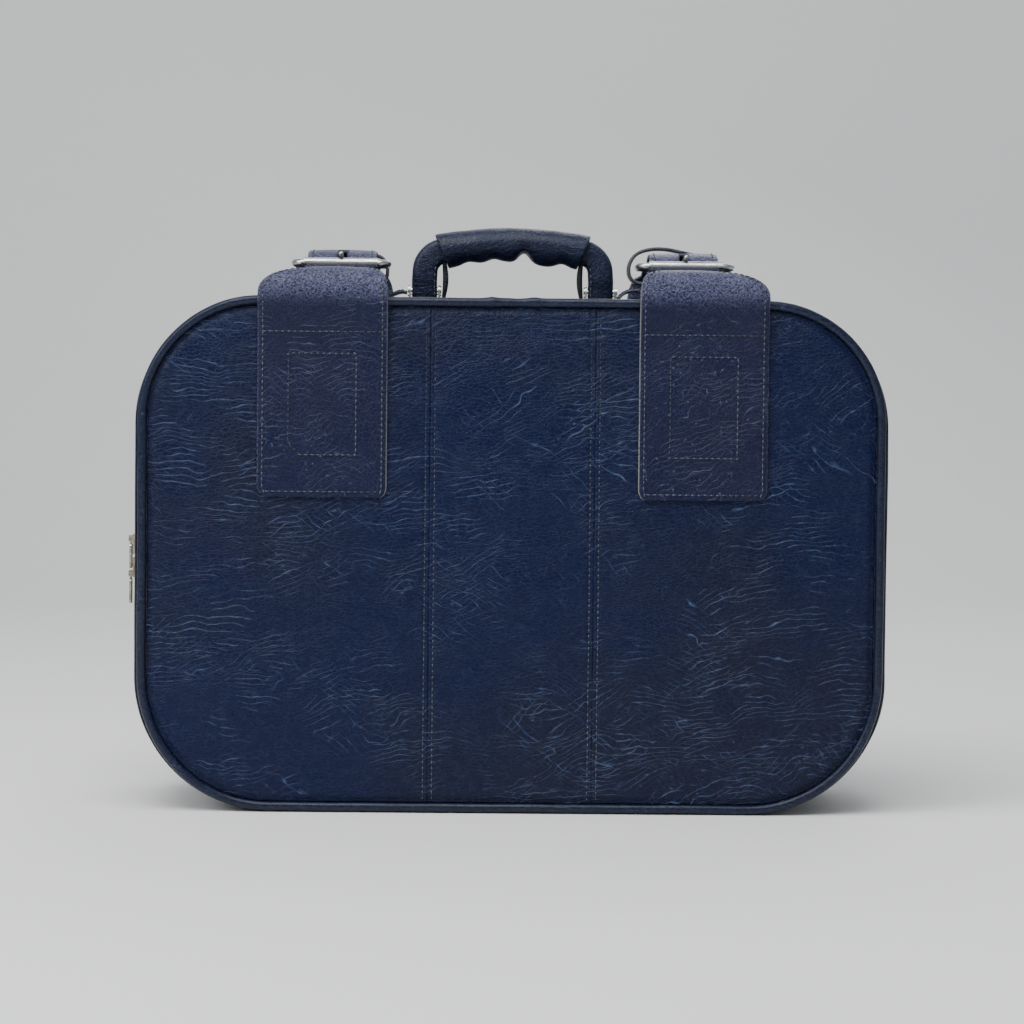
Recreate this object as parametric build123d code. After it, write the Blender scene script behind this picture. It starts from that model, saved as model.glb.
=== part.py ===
from build123d import *
import os

# Soft-sided leather overnight case: a zip-round lid with two buckled top straps and one folding handle.
# Millimetres. +X runs along the case, -Y is the lid (front) side, +Z is up, the origin is under the middle.

# ---- driving dimensions -------------------------------------------------------------------------------
BAND_HALF_W = 224.0          # half the length of the case body over its leather band
BAND_TOP_Z = 304.8           # top of the band; its underside rests at Z = 0
TOP_RADIUS = 74.0
BOTTOM_RADIUS = 80.0
PIPE_HALF_W = 219.5          # the piping's centre line on the front and back faces
PIPE_LOW_Z = 3.1
PIPE_HIGH_Z = 304.1
PIPE_TOP_RADIUS = 70.0
PIPE_BOTTOM_RADIUS = 77.0
PIPE_R = 2.75
PIPE_CORE_R = 1.6
FACE_Y = 65.0                # outer leather surface of the front (-) and back (+) panels
PIPE_Y = 64.5
BAND_END_Y = 61.6            # where the band meets the piping

LEATHER_T = 1.6
STRAP_T = 2.2
BOARD_T = 2.6
FOAM_T = 2.2
LINING_T = 0.6
TAPE_INSET = 1.6             # zip tape lies directly under the band leather
TAPE_T = 0.7
STIFFENER_INSET = 2.3
STIFFENER_T = 1.5
LINING_INSET = 5.2

PARTING_Y = -48.0            # the line between lid and case, along the zip
BAND_GAP_HALF = 3.5          # half the slot between the two leather bands, over the zip
TEETH_GAP_HALF = 0.4
TEETH_W = 1.5
TEETH_INSET = 0.6
TEETH_T = 2.4
HINGE_T = 1.2
HINGE_HALF_W = 150.0         # straight run at the bottom with a leather hinge instead of the zip

SEAM_X = 49.0                # the two vertical seams that part the front into three panels
SEAM_GAP = 0.2

TAB_X = 113.0                # centre of each wide strap tab
TAB_W = 77.0
TAB_LOW_Z = 188.0
TONGUE_SHIFT = 9.0           # the narrow strap sits this much nearer the handle than its tab
TONGUE_W = 42.0
SHOULDER_R = 17.0
STRAP_PIPE_Y = 69.2          # the strap's middle where it passes over the piping

BUCKLE_Z = 327.8
HEEL_Y = -8.0                # hinge bar of the buckle
FRONT_BAR_Y = -32.0
WIRE_R = 2.25
FRAME_W = 55.5               # between the side bars' centres
FRAME_CORNER_R = 5.5
ROLLER_R = 3.25
ROLLER_LEN = 44.0
RUNNING = 0.07               # radial clearance of a running fit
PRONG_R = 1.5
PRONG_EYE_R = 4.2
PRONG_EYE_W = 5.2
CHAPE_R = 4.3
CHAPE_LEN = 22.0
SLOT_W = 6.6
TONGUE_END_Y = 46.0

KEEPER_W = 56.4
KEEPER_Y = 25.5
KEEPER_DEPTH = 13.0
KEEPER_CORNER_R = 2.2
KEEPER_LEFT = (315.8, 335.9)     # lowest and highest point of the left loop
KEEPER_RIGHT = (317.8, 342.0)
KEEPER_SHIFT = 4.0               # further towards the handle than the strap

PIN_Z = 312.6                # handle pivot
PIN_R = 2.5
PIN_HEAD_R = 3.4
PIN_HEAD_T = 0.7
LEG_X = 54.0
LEG_W = 16.0
LEG_D = 15.0
LEG_END_R = 6.2
ANKLE_RISE = 8.0              # the leg narrows to its end radius over this height, to clear the plate
HANDLE_SHOULDER_Z = 335.6
HANDLE_MID_Z = 342.5
HANDLE_CORNER_R = 20.0
HANDLE_CROWN_R = 160.0
GRIP_HALF = 44.0
GRIP_D = 24.0
GRIP_H = 21.0
GRIP_GROOVES = ((-29.0, 2.0), (-13.0, 2.2), (7.5, 4.6), (33.0, 2.4))    # place along X and depth
GROOVE_R = 9.0
GRIP_SLOPE = 0.14
CORE_W = 6.0
CORE_D = 9.0
INNER_PAD_T = 3.6
INNER_PAD_D = 9.0
INNER_PAD_RISE = 9.5
EAR_T = 1.2
EAR_GAP = 0.4
EAR_R = 3.9
BRACKET_IN_X = 37.0
BRACKET_OUT_X = 72.0
BRACKET_D = 16.0
RIVET_R = 1.5
RIVET_HEAD_R = 3.0
RIVET_XS = (40.5, 68.5)
RIVET_Y = 5.0
PLATE_INSET = 3.9
PLATE_T = 1.2

SLIDER_W = 8.0
SLIDER_LEN = 12.0
SLIDER_UP_Z = 158.0
SLIDER_LOW_Z = 144.0
CROWN_OFFSET = 3.5
PULL_LEN = 18.0
PULL_W = 7.0
PULL_PIN_R = 0.84

SIDES = {"left": -1, "right": 1}


# ---- shared shapes ------------------------------------------------------------------------------------
def rounded_face(half_w, low_z, high_z, top_r, bottom_r):
    """Rounded upright outline, drawn with its own Y axis as height."""
    face = Rectangle(2 * half_w, high_z - low_z)
    face = fillet(face.vertices().sort_by(Axis.Y)[2:], top_r)
    face = fillet(face.vertices().sort_by(Axis.Y)[:2], bottom_r)
    return Pos(0, (low_z + high_z) / 2) * face


def slab(face, y_front, y_back):
    """An upright face made solid between two depths."""
    return extrude(Plane.XZ.offset(-y_back) * face, amount=y_back - y_front)


def band_face(inset):
    """The band's outline, moved inwards by a wall's depth."""
    high = BAND_TOP_Z - inset
    return rounded_face(BAND_HALF_W - inset, inset, high, TOP_RADIUS - inset, BOTTOM_RADIUS - inset)


def band_ring(inset, thickness, y_front, y_back):
    """One layer of the band, all the way round the case."""
    return slab(band_face(inset) - band_face(inset + thickness), y_front, y_back)


def pipe_face(inset):
    """The piping's centre line as a face, moved inwards by inset."""
    top_r = PIPE_TOP_RADIUS - inset
    bottom_r = PIPE_BOTTOM_RADIUS - inset
    return rounded_face(PIPE_HALF_W - inset, PIPE_LOW_Z + inset, PIPE_HIGH_Z - inset, top_r, bottom_r)


def box_between(x0, x1, y0, y1, z0, z1):
    """A box given by its two limits on each axis."""
    centre = Pos((x0 + x1) / 2, (y0 + y1) / 2, (z0 + z1) / 2)
    return centre * Box(x1 - x0, y1 - y0, z1 - z0)


def rod(radius, length, x, y, z, axis):
    """A round bar centred at a point, along axis X, Y or Z."""
    turn = {"X": Rot(0, 90, 0), "Y": Rot(90, 0, 0), "Z": Rot(0, 0, 0)}[axis]
    return Pos(x, y, z) * turn * Cylinder(radius, length)


def strip(points, radii, width, thickness):
    """A leather strip of constant width, bent along a path that lies in one plane across X."""
    path = FilletPolyline(*points, radius=radii)
    start = Plane(origin=path @ 0, x_dir=(1, 0, 0), z_dir=path % 0)
    return sweep(start * Rectangle(width, thickness), path=path)


def closed_bar(outline, y, radius):
    """A round bar that follows an upright face's edge at depth y."""
    path = (Plane.XZ.offset(-y) * outline).face().outer_wire()
    start = Plane(origin=path @ 0, z_dir=path % 0)
    return sweep(start * Circle(radius), path=path)


def zip_zone():
    """The space at the bottom that the leather hinge takes instead of the zip."""
    return box_between(-HINGE_HALF_W, HINGE_HALF_W, -FACE_Y, 0, -1, 20)


# ---- lid ----------------------------------------------------------------------------------------------
def make_front_panels():
    """Left, centre and right leather panels, parted at the two seams."""
    face = slab(pipe_face(PIPE_R + 0.05), -FACE_Y, -FACE_Y + LEATHER_T)
    wide = BAND_HALF_W
    cuts = {"left": (-wide, -SEAM_X), "centre": (-SEAM_X, SEAM_X), "right": (SEAM_X, wide)}
    half_gap = SEAM_GAP / 2
    panels = {}
    for name, (x0, x1) in cuts.items():
        zone = box_between(x0 + half_gap, x1 - half_gap, -FACE_Y - 1, 0, -1, BAND_TOP_Z + 1)
        panels[f"front_panel_{name}"] = face & zone
    return panels


def make_panel_layers(sign):
    """Foam and board behind a face panel; sign is -1 for the front and 1 for the back."""
    foam_out = FACE_Y - LEATHER_T
    board_out = foam_out - FOAM_T
    board_in = board_out - BOARD_T
    foam = slab(pipe_face(PIPE_R + 0.05), *sorted((sign * foam_out, sign * board_out)))
    board = slab(band_face(TAPE_INSET), *sorted((sign * board_out, sign * board_in)))
    return foam, board, board_in


def make_piping(sign):
    """The leather cover of one piping and the cord inside it."""
    bar = closed_bar(pipe_face(0), sign * PIPE_Y, PIPE_R)
    core = closed_bar(pipe_face(0), sign * PIPE_Y, PIPE_CORE_R)
    return bar - core, core


def make_zip_side(sign, tape_back):
    """Tape and teeth on one side of the parting line; sign is -1 for the lid and 1 for the case."""
    teeth_near = PARTING_Y + sign * TEETH_GAP_HALF
    teeth_far = teeth_near + sign * TEETH_W
    teeth = band_ring(TEETH_INSET, TEETH_T, *sorted((teeth_near, teeth_far))) - zip_zone()
    tape = band_ring(TAPE_INSET, TAPE_T, *sorted((teeth_far, tape_back))) - zip_zone()
    return tape, teeth


def strap_path(sign, low_z, top_z, bend_r, far_y):
    """Up a face, out over the piping, then inwards over the top of the case."""
    face_y = sign * (FACE_Y + STRAP_T / 2)
    pipe_y = sign * STRAP_PIPE_Y
    points = [(0, face_y, low_z), (0, face_y, 284), (0, pipe_y, 299), (0, pipe_y, top_z), (0, far_y, top_z)]
    return points, [12, 12, bend_r]


def shoulder_cuts(x, tongue_x, side, top_z, y0, y1):
    """Material taken off beside the strap's neck, seen from the front: long outside, short inside."""
    outer = x + side * TAB_W / 2
    inner = x - side * TAB_W / 2
    neck_out = tongue_x + side * TONGUE_W / 2
    neck_in = tongue_x - side * TONGUE_W / 2
    cuts = []
    for edge, width in ((outer, abs(outer - neck_out)), (inner, abs(inner - neck_in))):
        hollow = Plane.XZ.offset(-y1) * Pos(edge, top_z) * Ellipse(width, SHOULDER_R)
        cuts.append(extrude(hollow, amount=y1 - y0))
    return cuts


def make_strap_tab(side):
    """The wide tab sewn on the lid, free over the piping and necked towards the buckle."""
    x = side * TAB_X
    tongue_x = side * (TAB_X - TONGUE_SHIFT)
    points, radii = strap_path(-1, TAB_LOW_Z, 323.1, 11, -50)
    tab = Pos(x, 0, 0) * strip(points, radii, TAB_W, STRAP_T)
    for cut in shoulder_cuts(x, tongue_x, side, 326, -FACE_Y - 8, -40):
        tab = tab - cut
    return tab


def make_tongue(side):
    """The narrow strap end: under the roller, over the hinge bar, on through the keeper."""
    points = [(0, -50, 323.1), (0, -26, 323.1), (0, -12, 333.6), (0, -1, 333.6)]
    points += [(0, 7, 331.4), (0, TONGUE_END_Y, 331.4)]
    tongue = strip(points, [6, 5, 6, 6], TONGUE_W, STRAP_T)
    tongue = fillet(tongue.edges().filter_by(Axis.Z).sort_by(Axis.Y)[-2:], 12)
    slot = box_between(-2.3, 2.3, -23, -4, 318, 340)
    return Pos(side * (TAB_X - TONGUE_SHIFT), 0, 0) * (tongue - slot)


def make_lid():
    """Every piece that swings with the lid."""
    parts = make_front_panels()
    foam, board, board_in = make_panel_layers(-1)
    parts["front_foam"] = foam
    parts["front_board"] = board
    parts["front_piping"], parts["front_piping_cord"] = make_piping(-1)
    parts["lid_band"] = band_ring(0, LEATHER_T, -BAND_END_Y, PARTING_Y - BAND_GAP_HALF)
    tape, teeth = make_zip_side(-1, -57.5)
    parts["lid_zip_tape"] = tape
    parts["lid_zip_teeth"] = teeth
    back = slab(band_face(STIFFENER_INSET + 0.1), -board_in, -board_in + LINING_T)
    wall = band_ring(STIFFENER_INSET + 0.8, LINING_T, -board_in + LINING_T, -52.5)
    parts["lid_lining"] = back + (wall - box_between(-160, 160, -60, -50, -1, 20))
    for name, side in SIDES.items():
        parts[f"strap_tab_{name}"] = make_strap_tab(side)
        parts[f"tongue_{name}"] = make_tongue(side)
    return parts


# ---- case body ----------------------------------------------------------------------------------------
def rivet_places():
    """Centre of every handle rivet, as x and y."""
    return [(side * x, y) for side in SIDES.values() for x in RIVET_XS for y in (-RIVET_Y, RIVET_Y)]


def drill(solid):
    """Cut the rivet holes out of one layer."""
    for x, y in rivet_places():
        solid = solid - rod(RIVET_R, 14, x, y, BAND_TOP_Z - 2, "Z")
    return solid


def make_back():
    """Leather, foam and board of the back, with its piping."""
    foam, board, board_in = make_panel_layers(1)
    cover, cord = make_piping(1)
    panel = slab(pipe_face(PIPE_R + 0.05), FACE_Y - LEATHER_T, FACE_Y)
    names = ("back_panel", "back_foam", "back_board", "back_piping", "back_piping_cord")
    return dict(zip(names, (panel, foam, board, cover, cord))), board_in


def make_band(board_in):
    """Leather band, its stiffener, the lining, the case half of the zip and the leather hinge."""
    parts = {}
    parts["case_band"] = drill(band_ring(0, LEATHER_T, PARTING_Y + BAND_GAP_HALF, BAND_END_Y))
    stiffener = band_ring(STIFFENER_INSET, STIFFENER_T, -38.5, board_in)
    parts["band_stiffener"] = drill(stiffener)
    tape, teeth = make_zip_side(1, -39.0)
    parts["case_zip_tape"] = tape
    parts["case_zip_teeth"] = teeth
    wall = band_ring(LINING_INSET, LINING_T, -42, board_in)
    back = slab(band_face(LINING_INSET + LINING_T), board_in - LINING_T, board_in)
    parts["case_lining"] = wall + back
    hinge_zone = box_between(-HINGE_HALF_W + 1, HINGE_HALF_W - 1, -60, 0, 0, 20)
    parts["hinge_strip"] = band_ring(TAPE_INSET + 0.1, HINGE_T, -57, -39) & hinge_zone
    return parts


def make_rear_strap(side):
    """The strap from the back of the case, folded round the buckle's hinge bar."""
    x = side * TAB_X
    strap_x = side * (TAB_X - TONGUE_SHIFT)
    layer_z = BUCKLE_Z + STRAP_T / 2
    chape_end = HEEL_Y + CHAPE_LEN
    points, radii = strap_path(1, TAB_LOW_Z, layer_z, 14, chape_end)
    strap = Pos(x, 0, 0) * strip(points, radii, TAB_W, STRAP_T)
    for cut in shoulder_cuts(x, strap_x, side, layer_z + 3, 40, FACE_Y + 8):
        strap = strap - cut
    for edge in (-1, 1):
        x_neck = strap_x + edge * TONGUE_W / 2
        x_out = x_neck + edge * TAB_W
        strap = strap - box_between(min(x_neck, x_out), max(x_neck, x_out), 0, 52.5, 320, 340)
    z0, z1 = BUCKLE_Z - STRAP_T, BUCKLE_Z + STRAP_T
    upper = [(HEEL_Y, z1 + 2.1), (HEEL_Y + 10, z1), (chape_end, z1)]
    wedge = upper + [(chape_end, z0), (HEEL_Y + 10, z0), (HEEL_Y, z0 - 2.1)]
    profile = Polygon(*wedge, align=None) + Pos(HEEL_Y, BUCKLE_Z) * Circle(CHAPE_R)
    profile = profile - Pos(HEEL_Y, BUCKLE_Z) * Circle(WIRE_R + RUNNING)
    chape = extrude(Plane.YZ.offset(strap_x) * profile, amount=TONGUE_W / 2, both=True)
    slot = box_between(strap_x - SLOT_W / 2, strap_x + SLOT_W / 2, HEEL_Y - 6, HEEL_Y + 10, 320, 336)
    return strap + (chape - slot)


def make_keeper(side, low_z, high_z):
    """A stiff leather loop round both straps, behind the buckle."""
    x = side * (TAB_X - TONGUE_SHIFT - KEEPER_SHIFT)
    height = high_z - low_z
    outer = RectangleRounded(KEEPER_W, height, KEEPER_CORNER_R + STRAP_T)
    inner = RectangleRounded(KEEPER_W - 2 * STRAP_T, height - 2 * STRAP_T, KEEPER_CORNER_R)
    loop = Pos(x, (low_z + high_z) / 2) * (outer - inner)
    return slab(loop, KEEPER_Y - KEEPER_DEPTH / 2, KEEPER_Y + KEEPER_DEPTH / 2)


def make_handle_bracket(side):
    """Steel saddle with two upright ears for the handle's pin and a foot each way."""
    low = BAND_TOP_Z
    high = low + EAR_T
    x_in, x_out = sorted((side * BRACKET_IN_X, side * BRACKET_OUT_X))
    bracket = box_between(x_in, x_out, -BRACKET_D / 2, BRACKET_D / 2, low, high)
    for edge in (-1, 1):
        face = side * LEG_X + edge * (LEG_W / 2 + EAR_GAP + EAR_T / 2)
        ear = box_between(face - EAR_T / 2, face + EAR_T / 2, -EAR_R, EAR_R, high, PIN_Z)
        bracket = bracket + ear + rod(EAR_R, EAR_T, face, 0, PIN_Z, "X")
    bracket = bracket - rod(PIN_R, 30, side * LEG_X, 0, PIN_Z, "X")
    return drill(bracket)


def make_handle_pins():
    """Two peened pins, fast in the ears, that the handle turns on."""
    pins = []
    for side in SIDES.values():
        half = LEG_W / 2 + EAR_GAP + EAR_T
        pin = rod(PIN_R, 2 * half, side * LEG_X, 0, PIN_Z, "X")
        for edge in (-1, 1):
            head_x = side * LEG_X + edge * (half + PIN_HEAD_T / 2)
            pin = pin + rod(PIN_HEAD_R, PIN_HEAD_T, head_x, 0, PIN_Z, "X")
        pins.append(pin)
    return Compound(children=pins)


def make_rivets():
    """Handle rivets, headed over the bracket and over the plate inside."""
    foot_z = BAND_TOP_Z + EAR_T
    plate_low = BAND_TOP_Z - PLATE_INSET - PLATE_T
    rivets = []
    for x, y in rivet_places():
        shank = rod(RIVET_R, foot_z - plate_low, x, y, (foot_z + plate_low) / 2, "Z")
        head = rod(RIVET_HEAD_R, 0.9, x, y, foot_z + 0.45, "Z")
        rivets.append(shank + head)
    return Compound(children=rivets)


def make_anchor_patch(side):
    """Arched leather strip that covers the bracket's outer foot."""
    low = BAND_TOP_Z + 1.0
    points = [(65.6, 0, 309.6), (70.0, 0, 313.2), (79.0, 0, 313.0), (86.5, 0, low), (98.0, 0, low)]
    path = FilletPolyline(*points, radius=[3, 5, 5])
    start = Plane(origin=path @ 0, x_dir=(0, 1, 0), z_dir=path % 0)
    patch = sweep(start * Rectangle(18, 1.9), path=path)
    return patch if side > 0 else mirror(patch, about=Plane.YZ)


def make_case():
    """Every piece that stays with the case body."""
    parts, board_in = make_back()
    parts.update(make_band(board_in))
    plate_high = BAND_TOP_Z - PLATE_INSET
    plate = box_between(-78, 78, -9, 9, plate_high - PLATE_T, plate_high)
    parts["handle_backing_plate"] = drill(plate)
    parts["handle_rivets"] = make_rivets()
    parts["handle_pins"] = make_handle_pins()
    for name, side in SIDES.items():
        parts[f"handle_bracket_{name}"] = make_handle_bracket(side)
        parts[f"anchor_patch_{name}"] = make_anchor_patch(side)
        parts[f"rear_strap_{name}"] = make_rear_strap(side)
    return parts


# ---- handle -------------------------------------------------------------------------------------------
def handle_sweep(section):
    """A section carried along the handle's arch, from one pin to the other."""
    points = [(-LEG_X, 0, PIN_Z), (-LEG_X, 0, HANDLE_SHOULDER_Z), (0, 0, HANDLE_MID_Z)]
    points += [(LEG_X, 0, HANDLE_SHOULDER_Z), (LEG_X, 0, PIN_Z)]
    path = FilletPolyline(*points, radius=[HANDLE_CORNER_R, HANDLE_CROWN_R, HANDLE_CORNER_R])
    start = Plane(origin=path @ 0, x_dir=(1, 0, 0), z_dir=path % 0)
    return sweep(start * section, path=path)


def make_inner_pad(side):
    """Padded tongue of leather inside one leg, hanging from the grip past the inner ear."""
    ear_face = LEG_X - LEG_W / 2 - EAR_GAP - EAR_T
    x = side * (ear_face - 0.3 - INNER_PAD_T / 2)
    half = INNER_PAD_T / 2
    rise = box_between(x - half, x + half, -INNER_PAD_D / 2, INNER_PAD_D / 2, PIN_Z, PIN_Z + INNER_PAD_RISE)
    recess = rod(PIN_HEAD_R + 0.5, 2 * (PIN_HEAD_T + 0.4), side * ear_face, 0, PIN_Z, "X")
    return rod(INNER_PAD_D / 2, INNER_PAD_T, x, 0, PIN_Z, "X") + rise - recess


def make_handle():
    """Steel core, two leather legs with their inner strips, and the grip with finger grooves."""
    pin_hole = rod(PIN_R + 0.06, 2 * (LEG_X + LEG_W), 0, 0, PIN_Z, "X")
    core = handle_sweep(Rectangle(CORE_W, CORE_D))
    for side in SIDES.values():
        core = core + rod(CORE_D / 2, CORE_W, side * LEG_X, 0, PIN_Z, "X")
    parts = {"handle_core": core - pin_hole}
    middle = box_between(-GRIP_HALF, GRIP_HALF, -30, 30, PIN_Z + 5.5, 360)
    grip = (handle_sweep(Ellipse(GRIP_H / 2, GRIP_D / 2)) & middle) - core
    for x, depth in GRIP_GROOVES:
        under_z = HANDLE_MID_Z - GRIP_H / 2 - abs(x) * GRIP_SLOPE
        grip = grip - rod(GROOVE_R, 2 * GRIP_D, x, 0, under_z - GROOVE_R + depth, "Y")
    parts["handle_grip"] = grip
    leg = handle_sweep(RectangleRounded(LEG_W, LEG_D, 6.5)) - middle
    for edge in (-1, 1):
        ankle = [(edge * LEG_END_R, PIN_Z), (edge * LEG_D / 2, PIN_Z + ANKLE_RISE)]
        ankle += [(edge * LEG_D, PIN_Z + ANKLE_RISE), (edge * LEG_D, PIN_Z - 1), (edge * LEG_END_R, PIN_Z - 1)]
        leg = leg - extrude(Plane.YZ * Polygon(*ankle, align=None), amount=LEG_X + LEG_W, both=True)
    for name, side in SIDES.items():
        x_near, x_far = sorted((side * 10, side * 90))
        half = leg & box_between(x_near, x_far, -30, 30, 300, 360)
        half = half + rod(LEG_END_R, LEG_W, side * LEG_X, 0, PIN_Z, "X")
        parts[f"handle_leg_{name}"] = half - core - pin_hole
        parts[f"handle_inner_pad_{name}"] = make_inner_pad(side) - half - grip
    return parts


# ---- buckles ------------------------------------------------------------------------------------------
def make_buckle_frame(side):
    """Closed rounded wire frame: roller bar in front, hinge bar behind."""
    depth = HEEL_Y - FRONT_BAR_Y
    ring = RectangleRounded(FRAME_W, depth, FRAME_CORNER_R)
    path = (Pos(0, (HEEL_Y + FRONT_BAR_Y) / 2, BUCKLE_Z) * ring).face().outer_wire()
    start = Plane(origin=path @ 0, z_dir=path % 0)
    return Pos(side * (TAB_X - TONGUE_SHIFT), 0, 0) * sweep(start * Circle(WIRE_R), path=path)


def make_roller(side):
    """Tube that turns on the frame's front bar."""
    x = side * (TAB_X - TONGUE_SHIFT)
    tube = rod(ROLLER_R, ROLLER_LEN, x, FRONT_BAR_Y, BUCKLE_Z, "X")
    return tube - rod(WIRE_R + RUNNING, ROLLER_LEN + 2, x, FRONT_BAR_Y, BUCKLE_Z, "X")


def make_prong(side):
    """Pin with an eye round the hinge bar, its tip lying on the roller."""
    x = side * (TAB_X - TONGUE_SHIFT)
    eye = rod(PRONG_EYE_R, PRONG_EYE_W, x, HEEL_Y, BUCKLE_Z, "X")
    root = Vector(x, HEEL_Y - 2.4, BUCKLE_Z + 2.5)
    tip = Vector(x, FRONT_BAR_Y - 2.6, BUCKLE_Z + 5.45)
    middle = Plane(origin=(root + tip) * 0.5, z_dir=tip - root)
    shaft = middle * Cylinder(PRONG_R, (tip - root).length)
    prong = eye + shaft + Pos(*tip) * Sphere(PRONG_R)
    return prong - rod(WIRE_R + RUNNING, PRONG_EYE_W + 2, x, HEEL_Y, BUCKLE_Z, "X")


# ---- zip sliders --------------------------------------------------------------------------------------
def make_slider(z, crown_dir):
    """Zip slider on the left side: outer and inner plate, the wedge between and a two-cheek crown."""
    out_x = -BAND_HALF_W - 1.0
    y0 = PARTING_Y - SLIDER_W / 2
    y1 = PARTING_Y + SLIDER_W / 2
    half = SLIDER_LEN / 2
    plate = box_between(out_x - 1.2, out_x, y0, y1, z - half, z + half)
    inner_x = -BAND_HALF_W + 3.6
    inner = box_between(inner_x, inner_x + 1, y0 + 0.5, y1 - 0.5, z - half, z + half)
    wedge = box_between(out_x, inner_x, PARTING_Y - 0.25, PARTING_Y + 0.25, z - 2, z + 2)
    crown_z = z + crown_dir * CROWN_OFFSET
    cheeks = []
    for edge in (-1, 1):
        y = PARTING_Y + edge * 2.4
        cheeks.append(box_between(out_x - 3.9, out_x - 1.2, y - 0.6, y + 0.6, crown_z - 1.6, crown_z + 1.6))
    slider = plate + inner + wedge + cheeks[0] + cheeks[1]
    return slider - rod(PULL_PIN_R + 0.06, 10, out_x - 2.7, PARTING_Y, crown_z, "Y")


def make_pull(z, crown_dir):
    """Flat pull tab that hangs from the crown."""
    x = -BAND_HALF_W - 1.0 - 2.7
    crown_z = z + crown_dir * CROWN_OFFSET
    pin = rod(PULL_PIN_R, 6.0, x, PARTING_Y, crown_z, "Y")
    neck = box_between(x - 0.6, x + 0.6, PARTING_Y - 1.4, PARTING_Y + 1.4, crown_z - 4, crown_z + 0.6)
    half_w = PULL_W / 2
    end_z = crown_z - PULL_LEN
    blade = box_between(x - 0.6, x + 0.6, PARTING_Y - half_w, PARTING_Y + half_w, end_z, crown_z - 3.4)
    blade = fillet(blade.edges().filter_by(Axis.X), 1.8)
    hole = rod(1.5, 4, x, PARTING_Y, end_z + 4, "X")
    return (pin + neck + blade) - hole


# ---- the whole case -----------------------------------------------------------------------------------
def make_all():
    """Every node's solid by name."""
    parts = {}
    parts.update(make_lid())
    parts.update(make_case())
    parts.update(make_handle())
    for name, side in SIDES.items():
        low_z, high_z = KEEPER_LEFT if side < 0 else KEEPER_RIGHT
        parts[f"keeper_{name}"] = make_keeper(side, low_z, high_z)
        parts[f"buckle_frame_{name}"] = make_buckle_frame(side)
        parts[f"buckle_roller_{name}"] = make_roller(side)
        parts[f"buckle_prong_{name}"] = make_prong(side)
    for name, z, crown_dir in (("upper", SLIDER_UP_Z, 1), ("lower", SLIDER_LOW_Z, -1)):
        parts[f"zip_slider_{name}"] = make_slider(z, crown_dir)
        parts[f"zip_pull_{name}"] = make_pull(z, crown_dir)
    return parts


os.makedirs("parts", exist_ok=True)
for node, solid in make_all().items():
    export_step(solid, f"parts/{node}.step")
    print(f"{node}: {solid.volume / 1000:.2f} cm3")
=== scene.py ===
import logging
import math
from dataclasses import dataclass
from enum import Enum
from typing import Callable, Iterable, Sequence

import bpy
from mathutils import Matrix, Vector, noise


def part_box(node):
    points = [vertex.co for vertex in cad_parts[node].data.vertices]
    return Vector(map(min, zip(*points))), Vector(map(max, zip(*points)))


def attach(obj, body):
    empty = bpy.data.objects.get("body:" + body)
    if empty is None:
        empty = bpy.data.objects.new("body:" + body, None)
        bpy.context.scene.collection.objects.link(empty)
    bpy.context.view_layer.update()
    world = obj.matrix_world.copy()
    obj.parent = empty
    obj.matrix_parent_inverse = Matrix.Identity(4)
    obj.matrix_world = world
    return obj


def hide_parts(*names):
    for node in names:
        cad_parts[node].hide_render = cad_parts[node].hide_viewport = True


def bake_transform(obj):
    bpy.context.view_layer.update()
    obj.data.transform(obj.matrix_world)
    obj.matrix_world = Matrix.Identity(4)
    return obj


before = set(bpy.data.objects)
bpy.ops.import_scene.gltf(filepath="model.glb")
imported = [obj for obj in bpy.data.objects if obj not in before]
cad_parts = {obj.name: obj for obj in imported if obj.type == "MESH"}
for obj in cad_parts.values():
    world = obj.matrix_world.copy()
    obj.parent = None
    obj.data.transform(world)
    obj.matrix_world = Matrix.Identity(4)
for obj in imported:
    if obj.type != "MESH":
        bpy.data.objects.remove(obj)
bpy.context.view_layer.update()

LOG = logging.getLogger("leather_case")
MM = 0.001
SIDES = {"left": -1.0, "right": 1.0}

Colour = tuple[float, float, float]
Loop = list[Vector]
Profile = Callable[[float, float, float], Sequence[tuple[float, float]]]


def side_word(side: float) -> str:
    """The name of a side: left for -1, right for 1."""
    return "left" if side < 0 else "right"


def smooth(value: float) -> float:
    """Smooth step of a value, held between 0 and 1."""
    value = min(1.0, max(0.0, value))
    return value * value * (3 - 2 * value)


def smooth_line(points: Sequence[Sequence[float]], step: float, closed: bool = False) -> Loop:
    """Sample an even, smooth curve through a few chosen points.

    Args:
        points: The points that the curve passes through.
        step: Distance between samples, about.
        closed: Whether the last point joins the first.

    Returns:
        The sampled points, evenly spaced.
    """
    knots = [Vector(p) for p in points]
    count = len(knots)
    raw: Loop = []
    for i in range(count if closed else count - 1):
        if closed:
            a, b, c, d = (knots[(i + k - 1) % count] for k in range(4))
        else:
            b, c = knots[i], knots[i + 1]
            a = knots[i - 1] if i else b * 2 - c
            d = knots[i + 2] if i + 2 < count else c * 2 - b
        for k in range(16):
            t = k / 16
            raw.append(0.5 * (2 * b + (c - a) * t + (2 * a - 5 * b + 4 * c - d) * t * t
                              + (3 * b - a - 3 * c + d) * t ** 3))
    raw.append(knots[0].copy() if closed else knots[-1].copy())
    lengths = [0.0]
    for p, q in zip(raw, raw[1:]):
        lengths.append(lengths[-1] + (q - p).length)
    total = max(2, round(lengths[-1] / step))
    even: Loop = []
    at = 0
    for k in range(total if closed else total + 1):
        want = lengths[-1] * k / total
        while at < len(lengths) - 2 and lengths[at + 1] < want:
            at += 1
        span = max(1e-12, lengths[at + 1] - lengths[at])
        even.append(raw[at].lerp(raw[at + 1], (want - lengths[at]) / span))
    return even


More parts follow.
